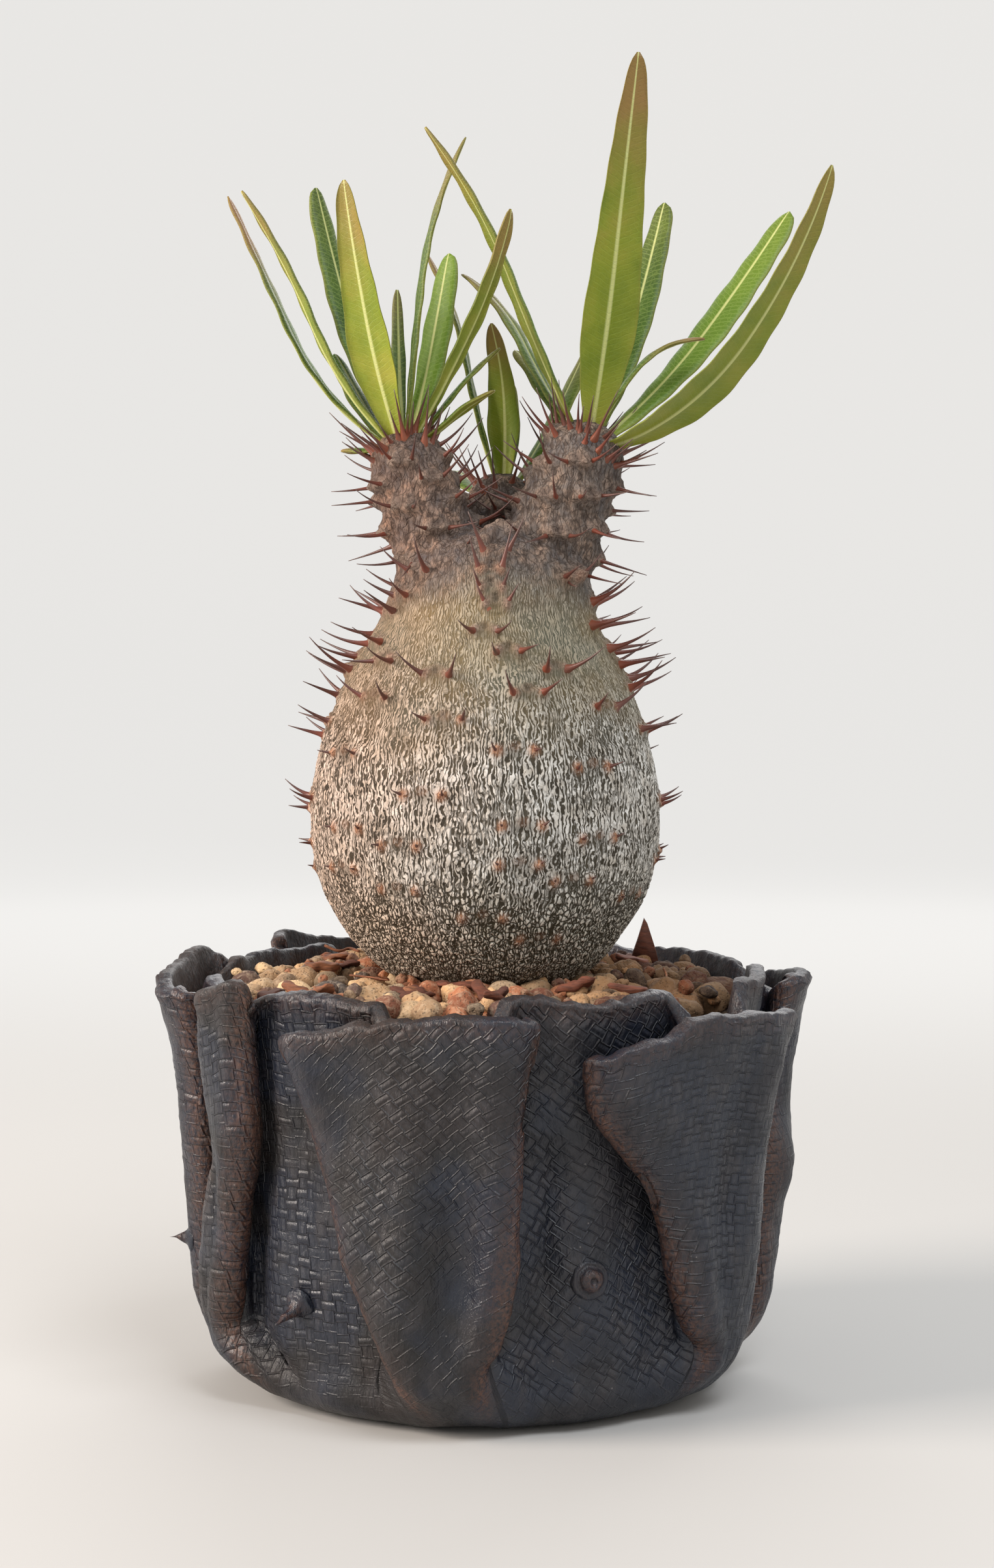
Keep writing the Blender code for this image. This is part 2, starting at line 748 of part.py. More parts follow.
def branch_spines(name, collection):
    nodes = BRANCHES[name]
    points, tangents = path_frames([p for p, _ in nodes])
    count = BRANCH_SCARS[name]
    made = []
    for k in range(count):
        share = k / (count - 1)
        along = 0.9 + (len(nodes) - 1.9) * share
        i = min(len(nodes) - 2, int(along))
        t = along - i
        centre = points[i] + t * (points[i + 1] - points[i])
        tangent = tangents[i] + t * (tangents[i + 1] - tangents[i])
        tangent /= np.linalg.norm(tangent)
        radius = nodes[i][1] + t * (nodes[i + 1][1] - nodes[i][1])
        out = on_bearing(k * GOLDEN_ANGLE + 40, 1.0, 0.0)
        out -= tangent * (out @ tangent)
        out /= np.linalg.norm(out)
        tilt = math.radians(BRANCH_TILTS[0] + share * (BRANCH_TILTS[1] - BRANCH_TILTS[0]))
        normal = out + math.tan(tilt) * tangent
        root = centre + out * (radius - 0.5)
        made += pair_of_spines(f"{name}_{k}", root, normal, 2.6, BRANCH_SPINE, False, collection)
    return made


def add_stem(collection):
    stem = loft("stem", [stem_ring(r, h) for r, h, _ in STEM_PROFILE], "stem_bark", collection)
    repeats = [add_branch(name, collection) for name in BRANCHES]
    repeats += stem_spines(collection)
    for name in BRANCHES:
        repeats += branch_spines(name, collection)
    fuse(stem, repeats, collection)
    return stem


# The leaves


def leaf_direction(bearing, slope):
    return on_bearing(bearing, math.cos(math.radians(slope)), math.sin(math.radians(slope)))


def leaf_outline(share, widest):
    """The half width along a leaf, as a share of its greatest half width. The tip is blunt."""
    if share < widest:
        return 0.3 + 0.7 * math.sin(math.pi / 2 * share / widest)
    past = min((share - widest) / (1 - widest), 0.97)
    narrowing = float(np.interp(widest, [0.38, 0.6], [0.6, 0.35]))
    return (1 - narrowing * past) * math.sqrt(1 - past**10)


def leaf_path(branch, bearing, slopes, length, steps):
    """Points up the midrib, from just clear of the branch's dome."""
    nodes = BRANCHES[branch]
    points, tangents = path_frames([p for p, _ in nodes])
    direction = leaf_direction(bearing, slopes[0])
    radius = nodes[-1][1]
    along = direction @ tangents[-1]
    across = direction - along * tangents[-1]
    reach = 1 / math.sqrt((along / (0.8 * radius)) ** 2 + (np.linalg.norm(across) / radius) ** 2)
    if along < 0:
        reach = radius
    path = [points[-1] + direction * (reach + CLEARANCE)]
    for k in range(steps - 1):
        share = (k + 0.5) / (steps - 1)
        slope = np.interp(share, [0, 0.5, 1], slopes)
        path.append(path[-1] + leaf_direction(bearing, slope) * length / (steps - 1))
    return np.array(path)


def add_leaf(name, collection):
    branch, bearing, slopes, length, width, widest = LEAVES[name]
    path = leaf_path(branch, bearing, slopes, length, LEAF_STATIONS)
    across = on_bearing(bearing + 90, 1.0, 0.0)
    roll = math.radians(LEAF_ROLLS.get(name, 0))
    rings = []
    for k, centre in enumerate(path):
        share = k / (LEAF_STATIONS - 1)
        ahead = path[min(k + 1, LEAF_STATIONS - 1)] - path[max(k - 1, 0)]
        ahead /= np.linalg.norm(ahead)
        upper = np.cross(ahead, across)
        upper /= np.linalg.norm(upper)
        side = across * math.cos(roll) + upper * math.sin(roll)
        upper = upper * math.cos(roll) - across * math.sin(roll)
        half = max(0.45, width / 2 * leaf_outline(share, widest))
        thick = LEAF_THICKNESS / 2
        curl = LEAF_ARCH * half
        rings.append(
            [
                centre + side * half - upper * (curl + 0.8 * thick),
                centre + side * half - upper * (curl - 0.8 * thick),
                centre + upper * thick,
                centre - side * half - upper * (curl - 0.8 * thick),
                centre - side * half - upper * (curl + 0.8 * thick),
                centre - upper * 1.3 * thick,
            ]
        )
    return loft(name, rings, "leaf_green", collection)


def main():
    for old in list(bpy.data.objects):
        bpy.data.objects.remove(old)
    collection = bpy.data.collections.new("potted_pachypodium")
    bpy.context.scene.collection.children.link(collection)
    add_pot(collection)
    add_soil(collection)
    add_stem(collection)
    for name in LEAVES:
        add_leaf(name, collection)


main()
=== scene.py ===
"""The looks of a potted pachypodium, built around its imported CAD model.

The plant is a swollen stem with three short branches, paired spines and a tuft of long leaves on
each branch. It stands in a gritty mix, in a pot folded from one sheet of black clay. Shapes are
worked out in mm and written in metres. The origin is the middle of the pot's foot, Z is up and
the front of the pot faces -Y. Bearings are in degrees from the front, growing towards +X.
"""

import itertools
import math
import random

import bmesh
import bpy
import numpy as np
from mathutils import Matrix, Vector


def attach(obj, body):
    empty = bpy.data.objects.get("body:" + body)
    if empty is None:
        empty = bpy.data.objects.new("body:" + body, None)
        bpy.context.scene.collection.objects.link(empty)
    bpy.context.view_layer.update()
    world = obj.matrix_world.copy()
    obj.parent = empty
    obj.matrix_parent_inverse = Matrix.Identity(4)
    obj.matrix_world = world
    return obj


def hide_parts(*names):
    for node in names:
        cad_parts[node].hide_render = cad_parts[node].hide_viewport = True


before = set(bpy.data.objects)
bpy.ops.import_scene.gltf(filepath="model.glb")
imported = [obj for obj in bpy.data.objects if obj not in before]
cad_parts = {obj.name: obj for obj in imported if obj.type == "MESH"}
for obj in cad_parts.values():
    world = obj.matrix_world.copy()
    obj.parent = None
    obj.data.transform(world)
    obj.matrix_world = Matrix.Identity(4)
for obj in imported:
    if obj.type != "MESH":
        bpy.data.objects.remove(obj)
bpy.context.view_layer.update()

MM = 0.001

# The clay sheet of the pot, as in the imported CAD model, in mm
WALL = 2.8
FOLD_STEP = 3.2  # between the middles of two layers laid on each other
DRAIN_RADIUS = 6.0
RIM_HEIGHT = 71.2
POT_RADIUS = 48.0  # half way up, to turn bearings into lengths round the wall
POT_PROFILE = [
    (34.0, WALL / 2), (38.6, 2.0), (42.2, 4.0), (44.5, 8.0), (45.7, 14.0), (46.3, 22.0),
    (46.9, 32.0), (47.6, 43.0), (48.7, 54.0), (50.2, 64.0), (51.6, RIM_HEIGHT),
]
# Heights at which the edges of each flap are given, from the rim down to the foot
EDGE_HEIGHTS = [71.0, 64.0, 47.0, 30.0, 16.0, 5.0]
# Each flap: the bearings of its left and right edge at those heights, how far the sheet runs
# back under each edge, how far each top corner hangs below the rim, how far it bulges, and the
# angle of the weave on it and on the panel to its right
FLAPS = [
    dict(
        left=[-38, -36, -33, -28, -21, -17], right=[11, 10, 8, 6, 4, -3],
        tuck=(13, 3), drop=(5.4, 2.2), bulge=1.0, weave=(38, -34),
    ),
    dict(
        left=[17, 19, 28, 38, 45, 56], right=[74, 72, 70, 70, 68, 65],
        tuck=(17, 7), drop=(8.0, 5.4), bulge=1.2, weave=(-5, 4),
    ),
    dict(
        left=[86, 87, 87, 86, 85, 85], right=[115, 113, 108, 104, 101, 98],
        tuck=(3, 4), drop=(0.5, 3.0), bulge=2.6, weave=(8, 30),
    ),
    dict(
        left=[130, 130, 132, 135, 138, 141], right=[170, 168, 163, 159, 156, 153],
        tuck=(6, 6), drop=(4.5, 0.5), bulge=2.0, weave=(-12, 3),
    ),
    dict(
        left=[189, 190, 193, 197, 201, 204], right=[229, 228, 225, 221, 218, 215],
        tuck=(5, 7), drop=(-0.5, -2.5), bulge=1.8, weave=(36, 0),
    ),
    dict(
        left=[244, 246, 249, 252, 255, 257], right=[289, 288, 286, 281, 278, 275],
        tuck=(5, 5), drop=(-1.5, 1.0), bulge=1.0, weave=(0, 0),
    ),
    dict(
        left=[299, 297, 295, 289, 286, 283], right=[315, 312, 309, 303, 298, 294],
        tuck=(1.6, 1.6), drop=(0.5, -2.0), bulge=0.6, weave=(0, 2),
    ),
]
PANEL_POINTS = 2
# How far below the corner each point of a fold ends, from the panel below to the flap, in mm:
# the layer in the middle is hidden between the other two
FOLD_DROPS = [0.5, 3.0, 4.5, 3.2, 0.8, 0.0]
FOLD_POINTS = len(FOLD_DROPS)
FLAP_POINTS = 2 * (FOLD_POINTS + PANEL_POINTS)  # points of a ring from one flap to the next
# Among the points of a flap and the panel after it: the first and last that the flap shows, the
# first that the panel shows, and the middles of both
FLAP_FIRST, FLAP_LAST, PANEL_FIRST = 3, 10, 13
FLAP_MIDDLE, PANEL_MIDDLE = 6.5, 14.5
FLAP_BENDS = (4.0, 9.0)  # the outer bends of its two folds
# Bearing, height, length and tilt above the horizontal of the clay thorns
THORNS = [
    (-43, 20, 6.5, -25),
    (22.5, 26, 3.4, 0),
    (78, 25, 7.0, -8),
    (-86, 25, 4.2, 0),
    (121, 24, 6.5, -10),
    (160, 36, 6.0, 0),
    (-150, 24, 6.5, -15),
    (-118, 34, 6.0, 5),
]
LOW_THORN = 4.0  # a thorn shorter than this is a blunt boss
THORN_STATIONS, THORN_SIDES = 30, 28
SHEET_SPACING = 0.69  # mm between the points of the sheet where it shows
HIDDEN_SPACING = 2.2  # and where a fold hides it
INNER_ROWS = 18
LIP_ROWS = 6
WEAVE_CELL = 1.8
WEAVE_DEPTH = 0.16
# Hollows pressed in the sheet: bearing, height, half width, half height and depth
DENTS = [
    (-3, 33, 5.0, 17.0, 3.4), (-14, 27, 3.6, 17.0, -2.0), (5, 24, 2.6, 14.0, -1.8),
    (-24, 52, 6.0, 12.0, 1.0), (-2, 57, 7.0, 10.0, 0.9), (-31, 60, 2.6, 9.0, -1.0),
    (-41, 50, 3.6, 14.0, 1.4), (-46, 22, 5.0, 10.0, -1.2), (14, 34, 3.4, 18.0, 1.6),
    (24, 22, 6.0, 8.0, -0.9), (33, 42, 4.5, 16.0, 0.9), (44, 22, 4.0, 12.0, -1.2),
    (52, 40, 3.6, 16.0, 1.6), (60, 58, 4.0, 9.0, -1.0), (68, 36, 3.6, 16.0, 1.5),
    (84, 52, 4.0, 7.0, 2.2), (92, 38, 5.0, 7.0, -1.8), (100, 26, 6.0, 9.0, 1.8),
    (-62, 40, 3.0, 18.0, 1.4), (-76, 30, 3.0, 16.0, -1.2), (-90, 44, 4.0, 14.0, 1.4),
    (148, 46, 6.0, 14.0, 1.4), (170, 26, 6.0, 12.0, -1.2), (208, 40, 6.0, 14.0, 1.6),
    (236, 30, 6.0, 14.0, -1.2),
]

# The gritty mix, in mm
SOIL_HEIGHT = 66.5
SOIL_RADIUS = 46.0
LARGE_STONES = 52
LARGE_TRIES = 6000
LARGE_RADII = (3.0, 5.4)
LARGE_REACH = (15.0, 42.0)  # how far from the middle of the pot their middles lie
LARGE_LIMIT = 43.6  # how far out they reach
SMALL_STONES = 300
SMALL_REACH = (9.0, SOIL_RADIUS)
STONE_CUTS = 12  # the flat faces that a stone is cut to
MIX_TOP = 74.0  # the height that the stones stay below, in the middle of the pot
# Radii of the loose stones, in mm: how many have been placed by then, the least and the greatest
STONE_SIZES = [(40, (3.6, 5.2)), (130, (2.7, 4.2)), (300, (0.9, 2.2))]
# Share of the bed's radius and height of the rings that close it below
BED_WALL = [(0.97, 58.0), (0.93, 40.0), (0.9, 22.0), (0.84, 10.0), (0.72, 4.2)]
BED_RINGS, BED_SIDES = 44, 160
BARK_CHIPS = 28
CHIP_REACH = (18.0, 43.0)
CHIP_SIZES = [(4.5, 10.5), (2.0, 4.6), (0.9, 1.8)]  # least and greatest length, width, thickness
CHIP_STATIONS, CHIP_SIDES = 13, 16
SPLINTER_PLACE = (30.0, 28.0, 70.0)
FIBRES = 16
FIBRE_REACH = (24.0, 42.0)
FIBRE_RADII = (0.12, 0.28)
CHIP_TOP, FIBRE_TOP = 72.2, 72.0  # the heights that their middles stay below

# The swollen stem: radius and height of its outline and how far its middle lies to +X, in mm
STEM_PROFILE = [
    (2.2, 40.5, 0.5), (4.4, 48.5, 0.5), (6.0, 60.5, 0.5), (6.2, 66.8, 0.5), (10.0, 68.1, 0.5),
    (14.0, 70.0, 0.5), (18.4, 72.7, 0.5), (22.8, 77.1, 0.5), (26.4, 82.5, 0.4), (29.2, 88.7, 0.3),
    (30.5, 95.1, 0.2), (30.6, 101.5, 0.2), (29.7, 108.5, 0.3), (27.6, 116.0, 0.5),
    (24.8, 122.5, 0.6), (21.6, 128.5, 0.8), (18.8, 134.5, 1.1), (17.3, 140.5, 1.4),
    (14.6, 146.0, 1.6), (8.5, 149.6, 1.6),
]
# Each branch: the points its middle passes through, with the radius there
BRANCHES = {
    "left": [
        ((-3.5, 0, 136), 10.6),
        ((-7.8, -1, 146), 8.2),
        ((-11.2, -2, 155), 6.9),
        ((-13.9, -2.5, 162.6), 6.0),
    ],
    "right": [
        ((6.0, 0, 136), 10.6),
        ((10.8, -1, 146), 8.5),
        ((14.3, -2, 155), 7.3),
        ((18.0, -3, 163.2), 6.6),
    ],
    "back": [((2.0, 6, 137), 9.5), ((2.6, 10, 146.5), 7.0), ((3.4, 12.5, 155.5), 6.0)],
}
# Rings of points and points in a ring, before the skin is made even
STEM_RINGS, STEM_SIDES = 120, 96
BRANCH_RINGS, DOME_RINGS, BRANCH_SIDES = 40, 12, 64
STEM_VOXEL = 0.515  # size of the squares of the skin, in mm
SKIN_ROUNDS = 24  # of smoothing
BARK_RIDGES = 256.0  # round the stem
RIDGE_FORKS = 24.0  # how far the fine warp shifts them, in radians of their wave
GRAIN_WIDTH = 0.95  # of a grain of the bark, in mm
GRAIN_COUNTS = [(60, 0), (84, 18), (100, 27), (200, 68)]  # grains up the stem, by height
RIDGE_DEPTH = 0.24
SCAR_REACH = 7.0  # how far from its middle a scar changes the bark

# Bearing and height of the scars on the front of the swollen stem; two spines stand on each.
# The back has the same scars, turned by half a turn
SCARS = [
    (2, 145), (-1, 142), (0, 139), (-48, 142), (52, 141), (-58, 138), (77, 137), (3, 136.5),
    (-66, 135), (70, 133), (-2, 132), (-65, 130), (82, 129), (9, 128.5), (-50, 127), (88, 126),
    (30, 125.5), (-21, 124.5), (-84, 125), (84, 122), (16, 121.5), (-47, 120.5), (51, 119),
    (-15, 117), (-81, 116), (79, 115), (10, 112), (-55, 111), (38, 109), (-20, 104.5), (-83, 103),
    (87, 102.5), (12, 99.5), (-50, 98.5), (39, 97), (-28, 96), (-86, 95), (11, 93), (86, 92),
    (-54, 91.5), (30, 90), (-30, 88.5), (62, 86.5), (-1, 84), (21, 80),
]
# Length of the spines, how far the two of a scar stand apart, in mm, and how far they point above
# the horizontal, in degrees, by height
SPINE_LENGTHS = [
    (78, 1.0), (88, 1.5), (93, 2.6), (98, 4.0), (104, 5.6), (112, 7.0), (120, 8.6), (126, 11.0),
    (133, 10.0),
]
# Share of that length that the spines have on the front of the stem, by height
FRONT_SHARES = [
    (92, 0.9), (100, 0.5), (114, 0.5), (119, 0.8), (130, 0.75), (136, 0.5), (139.5, 0.5), (142, 0.8),
]
SPINE_SPREADS = [(80, 6.8), (105, 6.8), (118, 5.8), (125, 3.8), (145, 3.4)]
SPINE_TILTS = [(95, 6), (112, 10), (119, 24), (124, 20), (127, 2), (131, 4), (135, 20), (141, 26)]
FRONT_TILT = 62  # of the spines on the front of the neck
BRANCH_TILTS = (-8, 20)  # of the spines of a branch above its normal, at its foot and its top
BRANCH_SPINE = 10.0  # length of the spines of a branch
BRANCH_SPREAD = 2.6
BRANCH_SLIM, CROWN_SLIM = 0.72, 0.66  # how thick they are, next to the spines of the stem
BRANCH_SCARS = {"left": 20, "right": 21, "back": 10}
GOLDEN_ANGLE = 137.508  # from scar to scar round a branch
CROWN_SPINES = {"left": 30, "right": 34, "back": 18}
CROWN_LENGTHS = (4.0, 9.5)
SPINE_SIDES = 9
SPINE_STATIONS = 14

# The leaves. For each: the branch, the bearing it leans to, its slope above the horizontal at
# the root, half way and at the tip, its length and width in mm, how far along it is widest, how
# far its two halves fold up, how brown its tip is, and how blue (or, below 0, how bright) it is
LEAVES = {
    "leaf_left_01": ("left", -99, (33, 65, 65), 51.5, 5.8, 0.55, 0.5, 0.95, 0.3),
    "leaf_left_02": ("left", -76, (45, 67, 55), 48.5, 5.0, 0.55, 0.5, 0.6, 0.3),
    "leaf_left_03": ("left", -135, (54, 68, 72), 49.5, 6.4, 0.60, 0.1, 0.1, 0.0),
    "leaf_left_04": ("left", -130, (39, 54, 54), 20, 5.0, 0.55, 0.1, 0.0, 0.0),
    "leaf_left_05": ("left", -34, (60, 72, 76), 44, 9.0, 0.38, -0.1, 0.55, 0.0),
    "leaf_left_06": ("left", 100, (85, 83, 63), 52, 5.4, 0.55, 0.5, 0.5, 0.4),
    "leaf_left_07": ("left", 143, (64, 74, 74), 33.5, 6.4, 0.60, 0.1, 0.05, -0.5),
    "leaf_left_08": ("left", 56, (55, 59, 75), 41.5, 4.6, 0.60, 0.5, 0.7, 0.2),
    "leaf_left_09": ("left", 100, (52, 50, 38), 20, 4.0, 0.55, 0.3, 0.3, 0.1),
    "leaf_left_10": ("left", 74, (36, 38, 20), 14, 4.0, 0.55, 0.3, 0.5, 0.1),
    "leaf_left_11": ("left", -164, (72, 84, 86), 25, 2.6, 0.55, 0.3, 0.4, 0.6),
    "leaf_left_12": ("left", -124, (12, 4, -10), 8, 4.0, 0.55, 0.0, 0.9, 0.0),
    "leaf_right_01": ("right", 24, (69, 76, 74), 63, 10.6, 0.32, -0.1, 0.8, 0.0),
    "leaf_right_02": ("right", 146, (52, 63, 67), 48, 6.6, 0.60, 0.1, 0.15, 0.0),
    "leaf_right_03": ("right", 118, (36, 50, 54), 56, 8.2, 0.60, 0.1, 0.1, -0.4),
    "leaf_right_04": ("right", 56, (13, 50, 70), 63, 9.4, 0.32, 0.15, 0.5, 0.15),
    "leaf_right_05": ("right", 98, (65, 49, -2), 25.5, 3.8, 0.55, 0.3, 0.9, 0.2),
    "leaf_right_06": ("right", -78, (64, 68, 50), 56.5, 6.8, 0.45, 0.1, 0.6, 0.2),
    "leaf_right_07": ("right", -118, (54, 62, 31), 35, 4.8, 0.55, 0.4, 0.6, 0.5),
    "leaf_right_08": ("right", -140, (46, 48, 36), 21, 4.4, 0.55, 0.3, 0.4, 0.4),
    "leaf_back_01": ("back", -100, (72, 79, 59), 43, 4.8, 0.55, 0.4, 0.8, 0.2),
    "leaf_back_02": ("back", -36, (98, 84, 62), 27.5, 7.0, 0.40, -0.1, 0.8, -0.3),
    "leaf_back_03": ("back", 118, (52, 60, 64), 28, 6.4, 0.60, 0.1, 0.4, -0.2),
    "leaf_back_04": ("back", -148, (16, 26, 20), 12, 6.2, 0.60, 0.1, 0.3, 0.0),
    "leaf_back_05": ("back", 172, (66, 84, 80), 18, 5.0, 0.60, 0.1, 0.3, 0.2),
}
LEAF_ROLLS = {"leaf_right_03": 18, "leaf_right_04": -16}  # turned about their midrib, in degrees
LEAF_THICKNESS = 0.55
LEAF_ROOT = -1.4  # how far outside the branch's dome the leaf starts; its root is sunk in it
LEAF_STATIONS = 60
LEAF_ACROSS = 16
LEAF_ARCH = 0.16  # how far the margins curl down, as a share of the half width

# The camera, from the photograph: its place in m, how far it looks down and its lens in mm
CAMERA_PLACE = (0.0023, -0.5, 0.130)
CAMERA_DOWN = 2.86
CAMERA_LENS = 65.0
CAMERA_SENSOR = 36.0  # its height

# The studio: place of each lamp in m, its size, power and colour
LAMPS = {
    "window": ((-0.85, -0.3, 0.45), (0.4, 0.5), 13.0, (1.0, 0.89, 0.8)),
    "sky": ((0.3, -0.55, 0.95), (0.5, 0.45), 6.5, (0.93, 0.96, 1.0)),
    "back": ((0.15, 0.8, 0.6), (0.9, 0.5), 4.0, (1.0, 1.0, 1.0)),
}
LAMP_TARGET = (0.0, 0.0, 0.1)
BACKDROP_SIDES = 96


# Numbers and curves


def smooth_step(low, high, x):
    """0 below low, 1 above high, and a smooth rise between them. Works on arrays."""
    t = np.clip((x - low) / (high - low), 0.0, 1.0)
    return t * t * (3 - 2 * t)


def rotation(axis, degrees):
    """The matrix that turns points about the axis "X", "Y" or "Z"."""
    return np.array(Matrix.Rotation(math.radians(degrees), 3, axis))


def on_bearing(bearing, radius, height):
    """The point in mm at that bearing, radius and height."""
    angle = math.radians(bearing)
    return np.array([radius * math.sin(angle), -radius * math.cos(angle), height])


def direction(bearing, slope):
    """The unit vector at that bearing and slope above the horizontal, in degrees."""
    return on_bearing(bearing, math.cos(math.radians(slope)), math.sin(math.radians(slope)))


def bearings(points):
    return np.degrees(np.arctan2(points[..., 0], -points[..., 1]))


def turned_by(bearing, start):
    """How far a bearing lies from another, from -180 to 180 degrees."""
    return (bearing - start + 180) % 360 - 180


def from_table(x, table):
    """The second column of a table where its first is x, straight between its rows."""
    return float(np.interp(x, *zip(*table)))


def ring_points(radii, sides, heights):
    """Rings of points round Z, with those radii and heights."""
    angles = np.linspace(0, 2 * math.pi, sides, endpoint=False)
    heights = np.broadcast_to(heights, (len(radii), sides))
    radii = np.asarray(radii)[:, None]
    return np.stack([radii * np.sin(angles), -radii * np.cos(angles), heights], axis=-1)


def unit(vectors):
    return vectors / np.linalg.norm(vectors, axis=-1, keepdims=True)


def hashed(cells, seed):
    """A fixed number from 0 to 1 for each whole-numbered cell."""
    mixed = cells[..., 0] * 374761393 + cells[..., 1] * 668265263 + cells[..., 2] * 1442695041
    mixed = mixed + seed * 1274126177
    mixed = (mixed ^ (mixed >> 13)) * 1274126177
    mixed = mixed ^ (mixed >> 16)
    return (mixed & 0xFFFF) / 65535.0


def noise(points, wave, seed):
    """Smooth noise from -1 to 1 whose waves are about that long."""
    scaled = points / wave
    base = np.floor(scaled).astype(np.int64)
    t = scaled - base
    t = t * t * (3 - 2 * t)
    total = 0.0
    for corner in itertools.product((0, 1), repeat=3):
        weight = 1.0
        for axis, side in enumerate(corner):
            weight = weight * (t[..., axis] if side else 1 - t[..., axis])
        total = total + weight * hashed(base + np.array(corner), seed)
    return 2 * total - 1


def vector_noise(points, wave, seeds):
    return np.stack([noise(points, wave, seed) for seed in seeds], axis=1)


def smooth_curve(points, at):
    """The smooth curve through points[..., k, :], read at positions such as 1.5, half way from
    the second point to the third."""
    points = np.asarray(points, float)
    step = np.linalg.norm(np.diff(points, axis=-2), axis=-1)[..., None]
    step = np.maximum(step, 1e-9)
    slope = np.diff(points, axis=-2) / step
    inner = (slope[..., :-1, :] * step[..., 1:, :] + slope[..., 1:, :] * step[..., :-1, :]) / (
        step[..., :-1, :] + step[..., 1:, :]
    )
    tangent = np.concatenate([slope[..., :1, :], inner, slope[..., -1:, :]], axis=-2)
    k = np.minimum(np.asarray(at).astype(int), points.shape[-2] - 2)
    t = (np.asarray(at) - k)[:, None]
    a, b = points[..., k, :], points[..., k + 1, :]
    ta, tb = tangent[..., k, :] * step[..., k, :], tangent[..., k + 1, :] * step[..., k, :]
    first = a * (1 + 2 * t) * (1 - t) ** 2 + ta * t * (1 - t) ** 2
    return first + b * t * t * (3 - 2 * t) + tb * t * t * (t - 1)


# Meshes


def grid_faces(rows, columns):
    """Quads between rings of points that are stored ring by ring."""
    across = np.arange(columns)
    start = np.arange(rows - 1)[:, None] * columns
    after = (across + 1) % columns
    corners = [start + across, start + after, start + after + columns, start + across + columns]
    return np.stack(corners, axis=-1).reshape(-1, 4)


def tube_faces(rows, columns):
    """Faces of a closed tube of rings of points, with a cap at each end."""
    last = (rows - 1) * columns
    caps = [tuple(range(columns))[::-1], tuple(range(last, last + columns))]
    return grid_faces(rows, columns).tolist() + caps


def make_piece(name, points_mm, faces, material, attributes=None):
    """A mesh object from points in mm, faces and attributes per point."""
    mesh = bpy.data.meshes.new(name)
    mesh.from_pydata((np.asarray(points_mm) * MM).tolist(), [], [tuple(f) for f in faces])
    add_attributes(mesh, attributes or {})
    mesh.materials.append(material)
    mesh.shade_smooth()
    piece = bpy.data.objects.new(name, mesh)
    bpy.context.scene.collection.objects.link(piece)
    return piece


def add_attributes(mesh, attributes):
    for name, values in attributes.items():
        values = np.asarray(values, np.float32)
        kind, field = ("FLOAT_VECTOR", "vector") if values.ndim == 2 else ("FLOAT", "value")
        mesh.attributes.new(name, kind, "POINT").data.foreach_set(field, values.ravel())


def read_points(mesh):
    points = np.zeros(len(mesh.vertices) * 3)
    mesh.vertices.foreach_get("co", points)
    return points.reshape(-1, 3) / MM


def read_normals(mesh):
    normals = np.zeros(len(mesh.vertices) * 3)
    mesh.vertex_normals.foreach_get("vector", normals)
    return normals.reshape(-1, 3)


def write_points(mesh, points_mm):
    mesh.vertices.foreach_set("co", (points_mm * MM).ravel())
    mesh.update()


def bake_modifiers(piece):
    """Applies the piece's modifiers to its mesh."""
    graph = bpy.context.evaluated_depsgraph_get()
    made = bpy.data.meshes.new_from_object(piece.evaluated_get(graph))
    piece.modifiers.clear()
    piece.data = made


def joined(parts):
    """Points, faces and attributes of several parts as one; each part is such a set of three."""
    start = 0
    points, faces = [], []
    attributes = {name: [] for name in parts[0][2]}
    for part_points, part_faces, part_attributes in parts:
        points.append(part_points)
        faces += [tuple(i + start for i in face) for face in part_faces]
        for name, values in part_attributes.items():
            attributes[name].append(values)
        start += len(part_points)
    return np.concatenate(points), faces, {n: np.concatenate(v) for n, v in attributes.items()}


# Node trees


def srgb(red, green, blue):
    """A colour given from 0 to 255 as seen on a screen, in the renderer's own scale."""
    shares = [c / 255 for c in (red, green, blue)]
    return tuple(s / 12.92 if s <= 0.04045 else ((s + 0.055) / 1.055) ** 2.4 for s in shares) + (1.0,)


